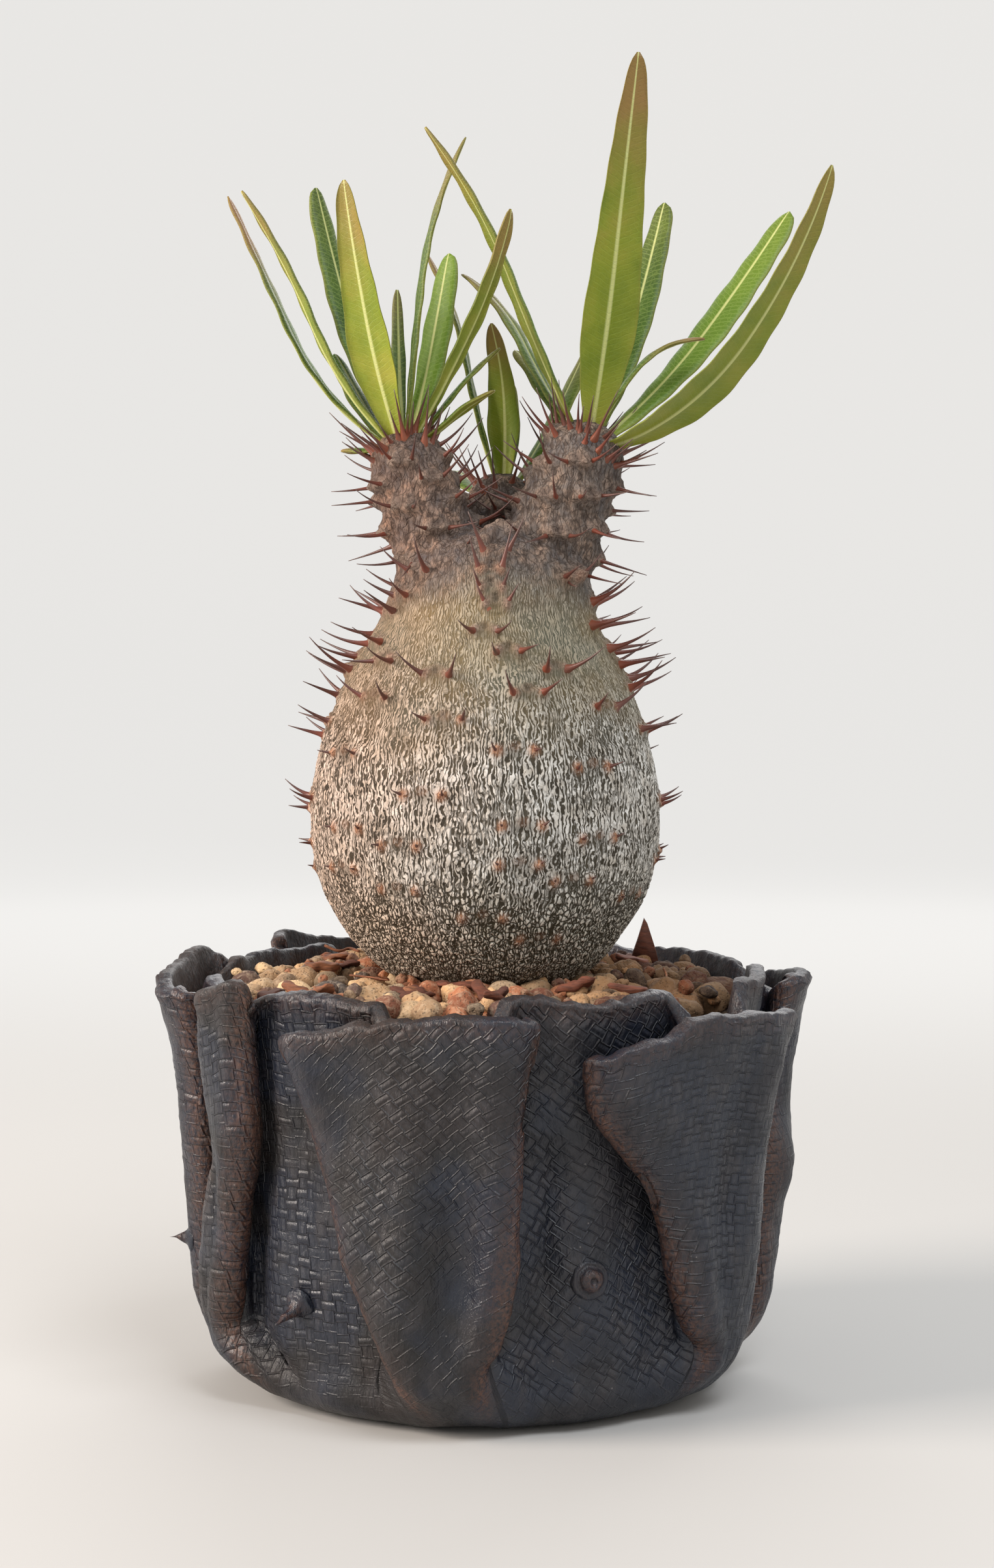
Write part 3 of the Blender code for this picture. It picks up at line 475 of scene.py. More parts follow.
class Net:
    """A node tree of a material, or of geometry nodes, that is written line by line."""

    def __init__(self, tree):
        self.tree = tree
        self.shading = tree.type == "SHADER"

    def add(self, kind, inputs=None, output=0, **settings):
        node = self.tree.nodes.new(kind)
        for key, value in settings.items():
            setattr(node, key, value)
        for key, value in (inputs or {}).items():
            self.feed(node.inputs[key], value)
        return node.outputs[output]

    def feed(self, socket, value):
        """Links another socket to this one, or sets it to a constant."""
        if isinstance(value, bpy.types.NodeSocket):
            self.tree.links.new(value, socket)
        else:
            socket.default_value = value

    def attribute(self, name, vector=False):
        if self.shading:
            output = "Vector" if vector else "Fac"
            return self.add("ShaderNodeAttribute", output=output, attribute_name=name)
        kind = "FLOAT_VECTOR" if vector else "FLOAT"
        return self.add("GeometryNodeInputNamedAttribute", {"Name": name}, data_type=kind)

    def place(self):
        """The point itself, in metres."""
        if self.shading:
            return self.add("ShaderNodeTexCoord", output="Object")
        return self.add("GeometryNodeInputPosition")

    def math(self, operation, a, b=0.0):
        return self.add("ShaderNodeMath", {0: a, 1: b}, operation=operation)

    def times(self, a, b):
        return self.math("MULTIPLY", a, b)

    def plus(self, a, b):
        return self.math("ADD", a, b)

    def minus(self, a, b):
        return self.math("SUBTRACT", a, b)

    def most(self, a, b):
        return self.math("MAXIMUM", a, b)

    def size(self, a):
        return self.math("ABSOLUTE", a)

    def stretch(self, vector, factors):
        return self.add("ShaderNodeVectorMath", {0: vector, 1: factors}, operation="MULTIPLY")

    def split(self, vector):
        node = self.tree.nodes.new("ShaderNodeSeparateXYZ")
        self.tree.links.new(vector, node.inputs[0])
        return node.outputs[0], node.outputs[1], node.outputs[2]

    def rise(self, value, low, high, first=0.0, last=1.0):
        """A smooth change from first to last as the value goes from low to high."""
        inputs = {0: value, 1: low, 2: high, 3: first, 4: last}
        return self.add("ShaderNodeMapRange", inputs, interpolation_type="SMOOTHSTEP")

    def noise(self, vector, scale, detail, roughness=0.55):
        inputs = {"Vector": vector, "Scale": scale, "Detail": detail, "Roughness": roughness}
        return self.add("ShaderNodeTexNoise", inputs)

    def cells(self, vector, scale, feature="F1"):
        """How far a point is from the middle of its cell, or from its edge."""
        inputs = {"Vector": vector, "Scale": scale}
        return self.add("ShaderNodeTexVoronoi", inputs, output="Distance", feature=feature)

    def pick(self, factor, a, b):
        """a where the factor is 0 and b where it is 1, for numbers."""
        return self.add("ShaderNodeMix", {0: factor, 2: a, 3: b}, data_type="FLOAT")

    def blend(self, factor, a, b, blend_type="MIX"):
        """a where the factor is 0 and b where it is 1, for colours. b may be given from 0 to 255."""
        inputs = {0: factor, 6: a, 7: srgb(*b) if isinstance(b, tuple) else b}
        return self.add("ShaderNodeMix", inputs, output=2, data_type="RGBA", blend_type=blend_type)

    def ramp(self, value, stops):
        """A colour from each stop's place and its colour, given from 0 to 255."""
        node = self.tree.nodes.new("ShaderNodeValToRGB")
        self.tree.links.new(value, node.inputs[0])
        elements = node.color_ramp.elements
        elements[0].position, elements[1].position = stops[0][0], stops[-1][0]
        for position, _ in stops[1:-1]:
            elements.new(position)
        for element, (_, colour) in zip(elements, stops):
            element.color = srgb(*colour)
        return node.outputs[0]

    def bump(self, height, distance, strength, normal=None):
        inputs = {"Height": height, "Distance": distance * MM, "Strength": strength}
        if normal is not None:
            inputs["Normal"] = normal
        return self.add("ShaderNodeBump", inputs)


def new_material(name):
    """The node net of a new Principled material, and the material."""
    material = bpy.data.materials.new(name)
    material.use_nodes = True
    return Net(material.node_tree), material


def plug(net, **inputs):
    """Sets or links sockets of the shader, whose names are given with _ for a space."""
    shader = net.tree.nodes["Principled BSDF"]
    for key, value in inputs.items():
        net.feed(shader.inputs[key.replace("_", " ")], value)


def displace(piece, relief, depth):
    """Moves the points of the piece along their normals by relief(net) times the depth in mm."""
    tree = bpy.data.node_groups.new("relief", "GeometryNodeTree")
    tree.interface.new_socket("Geometry", in_out="INPUT", socket_type="NodeSocketGeometry")
    tree.interface.new_socket("Geometry", in_out="OUTPUT", socket_type="NodeSocketGeometry")
    net = Net(tree)
    height = net.times(relief(net), depth * MM)
    normal = net.add("GeometryNodeInputNormal")
    offset = net.add("ShaderNodeVectorMath", {0: normal, "Scale": height}, operation="SCALE")
    source = net.add("NodeGroupInput")
    moved = net.add("GeometryNodeSetPosition", {"Geometry": source, "Offset": offset})
    tree.links.new(moved, tree.nodes.new("NodeGroupOutput").inputs[0])
    modifier = piece.modifiers.new("relief", "NODES")
    modifier.node_group = tree
    bake_modifiers(piece)


# The reliefs that a shape and its material share


def weave_relief(net):
    """The mark of a basket weave in the clay: each cell is a low cushion between two thin ridges,
    that lie across in one cell and stand upright in the next. From 0 to 1."""
    weave = net.attribute("weave", vector=True)
    across, up, _ = net.split(weave)
    parity = net.add("ShaderNodeTexChecker", {"Vector": weave, "Scale": 1.0}, output="Fac")
    x = net.minus(net.math("FRACT", across), 0.5)
    y = net.minus(net.math("FRACT", up), 0.5)
    from_middle = net.size(net.pick(parity, x, y))
    from_ridge = net.size(net.minus(from_middle, 0.42))
    ridge = net.rise(from_ridge, 0.0, 0.11, 1.0, 0.0)
    ridge = net.times(ridge, net.pick(parity, 0.6, 1.0))
    cushion = net.rise(from_middle, 0.0, 0.36, 0.35, 0.0)
    return net.times(net.plus(ridge, cushion), net.attribute("marked"))


def bark_grains(net):
    """0 on the fine cracks that break the ridges of the bark, up to about 0.5 between them."""
    return net.cells(net.attribute("grain", vector=True), 1.0, feature="DISTANCE_TO_EDGE")


def bark_relief(net, grains=None):
    """Wavy, forking upright ridges of bark, broken across into grains low down. 0 in a crack to 1."""
    x, y, _ = net.split(net.place())
    warp = net.noise(net.stretch(net.place(), (1.0, 1.0, 0.5)), 700.0, 2.0, 0.6)
    phase = net.plus(net.times(net.math("ARCTAN2", x, y), BARK_RIDGES), net.attribute("sway"))
    phase = net.plus(phase, net.times(warp, RIDGE_FORKS))
    ragged = net.noise(net.stretch(net.place(), (1.0, 1.0, 0.4)), 1250.0, 2.0, 0.6)
    wave = net.plus(net.times(net.math("SINE", phase), 0.52), net.times(ragged, 2.4))
    gap = net.attribute("gap")
    band = net.rise(wave, net.plus(gap, 0.66), net.plus(gap, 1.12))
    whole = net.rise(grains or bark_grains(net), 0.0, 0.17)
    broken = net.times(band, net.pick(net.attribute("cut"), 1.0, whole))
    return net.times(broken, net.attribute("rough"))


def stone_relief(net):
    place = net.place()
    lumps = net.noise(place, 900.0, 3.0, 0.6)
    pits = net.rise(net.cells(place, 1500.0), 0.05, 0.4)
    return net.plus(lumps, net.times(pits, 0.4))


# Materials


def clay_material():
    """Black unglazed clay with painted light: brown on the worn fold bends, partly a painted highlight,
    a lighter painted highlight on the raised weave, and a painted blue-grey sheen in patches and on the
    right (+X).
    """
    net, material = new_material("black_clay")
    place = net.place()
    weave = weave_relief(net)
    cloud = net.noise(place, 42.0, 3.0, 0.6)
    grain = net.noise(place, 1500.0, 3.0, 0.7)
    dust = net.noise(net.stretch(place, (1.0, 1.0, 0.5)), 260.0, 4.0, 0.65)
    # Painted cool sheen: the blue-grey stop of this ramp stands for bluish light reflected in patches
    dark = net.ramp(cloud, [(0.36, (31, 24, 22)), (0.46, (22, 20, 21)), (0.57, (25, 30, 42))])
    x, _, _ = net.split(place)
    # Painted cool light: the right side (+X) is tinted blue-grey
    dark = net.blend(net.rise(x, -0.02, 0.03, 0.0, 0.5), dark, (25, 32, 45))
    dark = net.blend(net.rise(dust, 0.45, 0.7, 0.0, 0.6), dark, (52, 49, 51))
    # Painted highlight: the raised weave ridges are painted a lighter grey
    raised = net.times(net.times(weave, 0.5), net.rise(grain, 0.25, 0.65))
    colour = net.blend(raised, dark, (88, 86, 91))
    # Brown along the fold bends and the rim: partly wear, partly a painted highlight
    edge = net.times(net.attribute("edge"), net.rise(grain, 0.3, 0.7))
    colour = net.blend(edge, colour, (92, 62, 48))
    specks = net.rise(net.cells(place, 380.0), 0.0, 0.08, 0.6, 0.0)
    colour = net.blend(specks, colour, (140, 134, 130))
    roughness = net.rise(net.plus(cloud, net.times(dust, 0.5)), 0.6, 0.9, 0.52, 0.32)
    wrinkles = net.noise(net.stretch(place, (1.0, 1.0, 0.4)), 800.0, 4.0, 0.65)
    heights = net.plus(net.times(weave, 0.6), net.times(wrinkles, 0.55))
    marks = net.bump(heights, 1.0, 0.9)
    plug(net, Base_Color=colour, Roughness=roughness, Normal=marks, Specular_IOR_Level=0.5)
    return material


def stem_colour(net, ridges, fine, patch):
    """Pale ridges over dark cracks, browner over olive on the neck."""
    steps = [(0.32, (180, 172, 160)), (0.5, (200, 195, 187)), (0.66, (220, 217, 211))]
    pale = net.ramp(patch, steps)
    pale = net.blend(net.rise(fine, 0.52, 0.66, 0.0, 0.55), pale, (132, 122, 106))
    crack = net.ramp(patch, [(0.38, (50, 44, 34)), (0.62, (74, 68, 56))])
    low = net.attribute("low")
    pale = net.blend(net.times(low, 0.6), pale, (226, 220, 204))
    crack = net.blend(low, crack, (54, 48, 33))
    olive = net.attribute("olive")
    steps = [(0.36, (112, 96, 66)), (0.5, (104, 92, 68)), (0.64, (96, 94, 78))]
    ground = net.ramp(net.noise(net.place(), 90.0, 3.0), steps)
    pale = net.blend(net.times(olive, 0.75), pale, (176, 160, 132))
    crack = net.blend(olive, crack, ground)
    return net.blend(ridges, crack, pale)


def branch_colour(net, grains, streaks, patch):
    """Brown to grey, with dark streaks and fine cracks."""
    steps = [(0.35, (156, 131, 114)), (0.5, (124, 111, 103)), (0.66, (92, 86, 86))]
    stained = net.ramp(patch, steps)
    streaked = net.blend(net.rise(streaks, 0.44, 0.58, 0.0, 0.85), stained, (78, 64, 56))
    return net.blend(net.rise(grains, 0.0, 0.06, 0.55, 0.0), streaked, (66, 54, 48))


def scar_colour(net, colour, fine, branch):
    """The bark with the knobs and eyes of its scars, and with earth on its foot."""
    knob = net.ramp(fine, [(0.3, (118, 68, 44)), (0.7, (190, 138, 104))])
    grey_knob = net.ramp(fine, [(0.34, (84, 66, 56)), (0.66, (150, 130, 116))])
    grey = net.most(branch, net.times(net.attribute("olive"), 0.9))
    knob = net.blend(grey, knob, grey_knob)
    colour = net.blend(net.times(net.attribute("scar"), 0.95), colour, knob)
    colour = net.blend(net.times(net.attribute("eye"), 0.6), colour, (74, 58, 50))
    return net.blend(net.attribute("earth"), colour, (96, 76, 54))


def bark_material():
    """Pale ridges over olive-brown cracks, greener on the neck and browner on the branches, with
    painted warm light on the left (-X) and painted cool light high on the right (+X).
    """
    net, material = new_material("pachypodium_bark")
    place = net.place()
    grains = bark_grains(net)
    ridges = bark_relief(net, grains)
    fine = net.noise(place, 2400.0, 3.0, 0.65)
    patch = net.noise(place, 260.0, 3.0, 0.6)
    streaks = net.noise(net.stretch(place, (1.0, 1.0, 0.45)), 1300.0, 4.0, 0.7)
    branch = net.attribute("branch")
    colour = stem_colour(net, ridges, fine, patch)
    colour = net.blend(branch, colour, branch_colour(net, grains, streaks, patch))
    # Painted light: the left side is tinted warmer and the right side cooler, as the lamps fall on them
    painted_warm_light, painted_cool_light = net.attribute("painted_warm_light"), net.attribute("painted_cool_light")
    colour = net.blend(net.times(painted_warm_light, 0.6), colour, (248, 206, 180), "MULTIPLY")
    colour = net.blend(net.times(painted_cool_light, 0.4), colour, (208, 216, 216), "MULTIPLY")
    colour = scar_colour(net, colour, fine, branch)
    small = net.bump(fine, 0.12, 0.7)
    lines = net.plus(net.times(streaks, 0.8), net.rise(grains, 0.0, 0.1, 0.0, 0.5))
    relief = net.bump(net.plus(ridges, net.times(branch, lines)), 0.34, 0.9, small)
    plug(net, Base_Color=colour, Roughness=0.8, Normal=relief, Specular_IOR_Level=0.3)
    return material


def spine_material():
    """Red-brown horn, paler at the root and grey and clear at the tip."""
    net, material = new_material("spine_horn")
    steps = [(0.0, (118, 84, 68)), (0.08, (144, 80, 54)), (0.3, (120, 60, 44))]
    steps += [(0.65, (86, 48, 40)), (1.0, (98, 78, 72))]
    horn = net.ramp(net.attribute("along"), steps)
    colour = net.blend(net.times(net.attribute("own"), 0.6), horn, (76, 54, 48))
    streaks = net.noise(net.place(), 1800.0, 2.0)
    plug(
        net,
        Base_Color=colour,
        Roughness=0.4,
        Normal=net.bump(streaks, 0.05, 0.6),
        Subsurface_Weight=0.05,
        Subsurface_Radius=(0.6 * MM, 0.25 * MM, 0.15 * MM),
    )
    return material


def leaf_veins(net):
    """1 on the slanted side veins of a leaf, and less on the fine net between them."""
    side, along, _ = net.split(net.attribute("blade", vector=True))
    slanted = net.minus(along, net.times(net.size(side), 0.45))
    wobble = net.times(net.noise(net.place(), 420.0, 2.0), 0.8)
    phase = net.math("FRACT", net.times(net.plus(slanted, wobble), 1.05))
    vein = net.rise(net.size(net.minus(phase, 0.5)), 0.0, 0.16, 1.0, 0.0)
    edges = net.cells(net.place(), 1000.0, feature="DISTANCE_TO_EDGE")
    return net.most(vein, net.rise(edges, 0.0, 0.1, 0.6, 0.0))


def leaf_colour(net, vein):
    """Green above and olive below, with a pale midrib, pale margins and a brown tip."""
    upper, share = net.attribute("upper"), net.attribute("share")
    cloud = net.noise(net.place(), 110.0, 3.0)
    under = net.ramp(cloud, [(0.3, (104, 120, 18)), (0.5, (124, 134, 28)), (0.72, (144, 142, 44))])
    above = net.ramp(cloud, [(0.3, (48, 76, 10)), (0.7, (78, 106, 20))])
    colour = net.blend(upper, under, above)
    hue = net.attribute("blue")
    colour = net.blend(net.times(net.most(hue, 0.0), 0.7), colour, (98, 112, 76))
    bright = net.times(net.most(net.times(hue, -1.0), 0.0), 0.9)
    colour = net.blend(bright, colour, (124, 156, 40))
    colour = net.blend(net.rise(share, 0.0, 0.2, 0.5, 0.0), colour, (164, 166, 66))
    colour = net.blend(net.times(vein, net.pick(upper, 0.10, 0.3)), colour, (160, 180, 96))
    reddened = net.plus(share, net.times(net.minus(cloud, 0.5), 0.5))
    tip = net.times(net.rise(reddened, 0.5, 1.0), net.attribute("brown"))
    colour = net.blend(tip, colour, (138, 98, 60))
    rib = net.rise(net.attribute("rib"), 0.4, 0.85)
    colour = net.blend(net.times(rib, 0.85), colour, (196, 198, 130))
    margin = net.times(net.rise(net.attribute("across"), 0.9, 0.995), 0.4)
    return net.blend(margin, colour, (128, 126, 52))


def leaf_material():
    net, material = new_material("leaf")
    vein = leaf_veins(net)
    fine = net.noise(net.place(), 1500.0, 2.0)
    plug(
        net,
        Base_Color=leaf_colour(net, vein),
        Roughness=0.5,
        Normal=net.bump(fine, 0.04, 0.5, net.bump(vein, 0.05, 0.5)),
        Specular_IOR_Level=0.4,
        Subsurface_Weight=0.2,
        Subsurface_Radius=(0.4 * MM, 0.6 * MM, 0.1 * MM),
    )
    return material


def stone_material():
    """Pumice, dark stone and lava, told apart by the number that each stone carries, with painted shade
    on the stones to the right (+X).
    """
    net, material = new_material("gravel_stone")
    place = net.place()
    steps = [(0.0, (206, 162, 116)), (0.2, (182, 146, 108)), (0.34, (132, 108, 86))]
    steps += [(0.46, (212, 178, 136)), (0.58, (92, 78, 66)), (0.7, (172, 108, 74))]
    steps += [(0.84, (122, 74, 54)), (1.0, (80, 72, 68))]
    kind = net.ramp(net.attribute("own"), steps)
    lumps = net.noise(place, 900.0, 4.0, 0.65)
    colour = net.blend(net.rise(lumps, 0.4, 0.75, 0.0, 0.35), kind, (222, 200, 170))
    x, _, _ = net.split(place)
    # Painted shade: the stones are darkened towards the right (+X)
    colour = net.blend(net.rise(x, 0.0, 0.03, 0.0, 0.85), colour, (136, 118, 104), "MULTIPLY")
    pits = net.rise(net.cells(place, 1100.0), 0.08, 0.32, 0.75, 0.0)
    colour = net.blend(pits, colour, (70, 56, 44))
    rough = net.bump(stone_relief(net), 0.4, 0.9)
    plug(net, Base_Color=colour, Roughness=0.9, Normal=rough, Specular_IOR_Level=0.3)
    return material


def chip_material():
    """Bark chips and fibres."""
    net, material = new_material("bark_chip")
    place = net.place()
    streaks = net.noise(net.stretch(place, (1.0, 1.0, 5.0)), 500.0, 4.0, 0.6)
    steps = [(0.0, (78, 42, 30)), (0.5, (118, 64, 42)), (1.0, (160, 106, 70))]
    chip = net.ramp(net.attribute("own"), steps)
    colour = net.blend(net.rise(streaks, 0.35, 0.7, 0.0, 0.7), chip, (66, 40, 30))
    plug(net, Base_Color=colour, Roughness=0.8, Normal=net.bump(streaks, 0.25, 0.8))
    return material


def soil_material():
    net, material = new_material("dark_grit")
    lumps = net.noise(net.place(), 700.0, 4.0, 0.6)
    colour = net.ramp(lumps, [(0.3, (34, 26, 20)), (0.7, (92, 72, 54))])
    plug(net, Base_Color=colour, Roughness=0.95, Normal=net.bump(lumps, 0.5, 0.8))
    return material


def paper_material():
    """The pale floor and the wall that it curves up into, which glows a little so that it is even."""
    net, material = new_material("pale_floor")
    x, y, _ = net.split(net.place())
    reach = net.math("SQRT", net.plus(net.times(x, x), net.times(y, y)))
    far = net.rise(reach, 0.2, 0.9)
    colour = net.blend(far, srgb(192, 190, 187), (108, 107, 105))
    plug(
        net,
        Base_Color=colour,
        Roughness=0.8,
        Specular_IOR_Level=0.2,
        Emission_Color=srgb(244, 243, 241),
        Emission_Strength=net.times(far, 0.74),
    )
    return material


# The pot


def fold_points(tuck, step, roundness, ramp):
    """The sheet across a left flap edge, as (along, out) in mm: from the panel below, back out
    round two turns to the flap on top. Roundness 0 is a plain ramp and 1 the full fold."""
    turn = step / 2
    folded = [(tuck, -step), (tuck + turn, -turn), (tuck, 0), (0, 0), (-turn, turn)]
    folded.append((0.4, step + 0.7))
    shares = np.linspace(-1, 1, FOLD_POINTS)[:, None]
    points = roundness * np.array(folded) + (1 - roundness) * shares * [ramp, step]
    return points.tolist()


def edge_bearing(edge, height):
    return float(np.interp(height, EDGE_HEIGHTS[::-1], edge[::-1]))


def fold_drops(corner):
    """How far below the rim each point of a fold ends, whose corner ends that far below it."""
    low = max(0.0, corner)
    base = [0.0, 0.0, low, low, corner, corner]
    return [b + d for b, d in zip(base, FOLD_DROPS)]


def flap_folds(i, radius, height):
    """The two folds of flap i in one ring, each as a list of (bearing, out, drop)."""
    flap = FLAPS[i]
    following = FLAPS[(i + 1) % len(FLAPS)]
    turn_before = 360 if i == 0 else 0
    turn_after = 360 if i == len(FLAPS) - 1 else 0
    step = FOLD_STEP * smooth_step(1.0, 10.0, height)
    roundness = smooth_step(6.0, 22.0, height)
    tuck_share = smooth_step(20.0, 62.0, height)
    degrees = math.degrees(1 / radius)
    left = edge_bearing(flap["left"], height)
    right = edge_bearing(flap["right"], height)
    width = (right - left) / degrees
    before = (left - edge_bearing(FLAPS[i - 1]["right"], height) + turn_before) / degrees
    after = (edge_bearing(following["left"], height) - right + turn_after) / degrees
    inset = roundness * (step / 2 + WALL / 2) * degrees
    folds = []
    for side, (edge, inward, beside) in enumerate([(left, 1, before), (right, -1, after)]):
        ramp = min(4.0, 0.36 * width, 0.36 * beside)
        line = fold_points(flap["tuck"][side] * tuck_share, step, roundness, ramp)
        drops = fold_drops(flap["drop"][side])
        shifts = [inward * (inset + along * degrees) for along, _ in line]
        fold = [(edge + shift, out, drop) for shift, (_, out), drop in zip(shifts, line, drops)]
        folds.append(fold[::inward])
    return folds


def pot_ring(radius, height):
    """One ring of the sheet: a list of (bearing, radius, height) that runs round the pot."""
    step = FOLD_STEP * smooth_step(1.5, 11.0, height)
    hang = smooth_step(34.0, RIM_HEIGHT, height)
    panel = smooth_step(3.0, 30.0, height)
    folds = [flap_folds(i, radius, height) for i in range(len(FLAPS))]
    ring = []
    for i, flap in enumerate(FLAPS):
        left, right = folds[i]
        next_left = folds[(i + 1) % len(FLAPS)][0][0][0] + (360 if i == len(FLAPS) - 1 else 0)
        ring += [(b, radius + out, height - hang * drop) for b, out, drop in left]
        for k in range(1, PANEL_POINTS + 1):
            share = k / (PANEL_POINTS + 1)
            bearing = left[-1][0] + share * (right[0][0] - left[-1][0])
            bulge = panel * flap["bulge"] * math.sin(math.pi * share)
            drop = (1 - share) ** 2 * flap["drop"][0] + share**2 * flap["drop"][1]
            ring.append((bearing, radius + step + bulge, height - hang * drop))
        ring += [(b, radius + out, height - hang * drop) for b, out, drop in right]
        for k in range(1, PANEL_POINTS + 1):
            bearing = right[-1][0] + k / (PANEL_POINTS + 1) * (next_left - right[-1][0])
            ring.append((bearing, radius - step, height))
    return ring


def even_bearings(ring, share):
    """The ring with its bearings drawn towards an even spacing by that share."""
    first = ring[0][0]
    count = len(ring)
    even = [first + 360 * k / count for k in range(count)]
    return [((1 - share) * b + share * e, r, h) for e, (b, r, h) in zip(even, ring)]


def sheet_columns(coarse):
    """Where the fine columns lie along the coarse ring: close together where the sheet shows."""
    middle = coarse[len(coarse) * 2 // 3]
    lengths = np.linalg.norm(np.diff(middle, axis=0), axis=1)
    places = []
    for k, length in enumerate(lengths):
        within = k % FLAP_POINTS
        hidden = within < FLAP_FIRST or FLAP_LAST <= within < PANEL_FIRST
        spacing = HIDDEN_SPACING if hidden else SHEET_SPACING
        count = max(2, round(length / spacing))
        places += [k + j / count for j in range(count)]
    return np.array(places)


def sheet_middle():
    """The middle of the clay sheet as a grid of points in mm, from the drain hole to the rim, with
    the position of each column along the coarse ring and the length up the sheet of each row."""
    flat = [(DRAIN_RADIUS, WALL / 2), (20.0, WALL / 2)]
    corners = np.array(flat + POT_PROFILE)
    lengths = np.concatenate([[0], np.cumsum(np.linalg.norm(np.diff(corners, axis=0), axis=1))])
    shown = np.arange(lengths[2], lengths[-1], SHEET_SPACING)
    heights = np.concatenate([[0, lengths[1]], shown, [lengths[-1]]])
    profile = smooth_curve(corners, np.interp(heights, lengths, np.arange(len(lengths))))
    coarse = []
    for radius, height in profile:
        ring = even_bearings(pot_ring(radius, height), 0.6 * (1 - smooth_step(2.0, 15.0, height)))
        ring.append((ring[0][0] + 360, ring[0][1], ring[0][2]))
        coarse.append([on_bearing(*p) for p in ring])
    coarse = np.array(coarse)
    columns = sheet_columns(coarse)
    return smooth_curve(coarse, columns), columns, heights


def sheet_normals(middle):
    around = np.roll(middle, -1, axis=1) - np.roll(middle, 1, axis=1)
    up = np.gradient(middle, axis=0)
    return unit(np.cross(around, up))


def square(share):
    """A sine or cosine drawn towards a square wave, for an edge that is flatter than a half round."""
    return math.copysign(abs(share) ** 0.6, share)


def sheet_dents(middle):
    """How far the sheet is pressed in, in mm, at each point."""
    bearing, height = bearings(middle), middle[..., 2]
    pressed = np.zeros(height.shape)
    for at, level, half_width, half_height, depth in DENTS:
        across = turned_by(bearing, at) * math.radians(POT_RADIUS)
        pressed += depth * np.exp(-((across / half_width) ** 2) - ((height - level) / half_height) ** 2)
    slack = smooth_step(4.0, 22.0, height)
    pressed += slack * 0.8 * noise(middle * np.array([1, 1, 0.3]), 8.5, 35)
    return pressed + slack * 0.3 * noise(middle * np.array([1, 1, 0.6]), 3.6, 36)


def weave_frame(middle, along, heights, column, angle):
    """Across and up in mm, for a weave that stands upright at that column when its angle is 0."""
    bearing = np.radians(bearings(middle[:, column]))
    x = (np.unwrap(bearing) * POT_RADIUS)[:, None] + along - along[:, column][:, None]
    y = np.repeat(heights[:, None], middle.shape[1], axis=1)
    turn = math.radians(angle)
    return x * math.cos(turn) + y * math.sin(turn), y * math.cos(turn) - x * math.sin(turn)


def weave_places(middle, columns, heights):
    """Where each point lies in the weave, in cells, and each column's place in its flap."""
    step = np.linalg.norm(np.diff(middle, axis=1), axis=-1)
    along = np.concatenate([np.zeros((len(middle), 1)), np.cumsum(step, axis=1)], axis=1)
    within = columns % FLAP_POINTS
    on_flap = (within >= FLAP_FIRST) & (within <= FLAP_LAST)
    owner = (columns // FLAP_POINTS).astype(int)
    before = (owner - 1) % len(FLAPS)
    owner_below = np.where(within < FLAP_FIRST, before, owner)
    across, up = np.zeros(along.shape), np.zeros(along.shape)
    for i, flap in enumerate(FLAPS):
        flap_angle, panel_angle = flap["weave"]
        on_top = (on_flap & (owner == i), FLAP_MIDDLE, flap_angle)
        below = (~on_flap & (owner_below == i), PANEL_MIDDLE, panel_angle)
        for mine, place, angle in (on_top, below):
            column = int(np.argmin(np.abs(columns - i * FLAP_POINTS - place)))
            x, y = weave_frame(middle, along, heights, column, angle)
            across, up = np.where(mine, x, across), np.where(mine, y, up)
    sway, lift = [
        0.5 * noise(middle, 9.0, seed) + 0.16 * noise(middle, 2.6, seed + 1) for seed in (11, 23)
    ]
    level = np.full(up.shape, 0.25 * WEAVE_CELL)
    places = np.stack([0.8 * across + sway, up + lift, level], axis=-1)
    return places / WEAVE_CELL, within


def weave_strength(middle, within):
    """How deep the weave is marked: worn in patches, and smooth low down and in the folds."""
    bearing, height = bearings(middle), middle[..., 2]
    worn = smooth_step(-0.8, 0.1, noise(middle, 17.0, 5) + 0.4 * noise(middle, 5.0, 6))
    strength = 0.4 + 0.6 * worn
    smooth_corner = np.exp(-(((bearing + 30) / 9) ** 2) - ((height - 55) / 14) ** 2)
    smooth_hollow = np.exp(-(((bearing + 4) / 10) ** 2) - ((height - 24) / 12) ** 2)
    strength = strength * (1 - 0.95 * np.maximum(smooth_corner, smooth_hollow))
    strength = strength * (0.25 + 0.75 * smooth_step(3.0, 14.0, height))
    strength = strength * (0.25 + 0.75 * smooth_step(-0.5, 0.15, noise(middle, 2.4, 7)))
    past = (within > FLAP_LAST + 0.1) & (within < PANEL_FIRST)
    folded_in = (within < FLAP_FIRST - 0.1) | past
    return np.where(folded_in & (height > 14), 0.1, strength)


def fold_edges(columns, middle):
    """How brown the clay is: 1 along the outer bend of each fold, less at the rim; worn clay with a
    painted highlight on the bends.
    """
    within = columns % FLAP_POINTS
    near_left, near_right = [np.exp(-(((within - bend) / 0.7) ** 2)) for bend in FLAP_BENDS]
    edge = np.maximum(near_left, near_right)[None, :] * smooth_step(2, 10, middle[..., 2])
    rim = smooth_step(-3.5, 0.0, middle[..., 2] - middle[-1:, :, 2])
    return np.maximum(edge, 0.3 * rim)


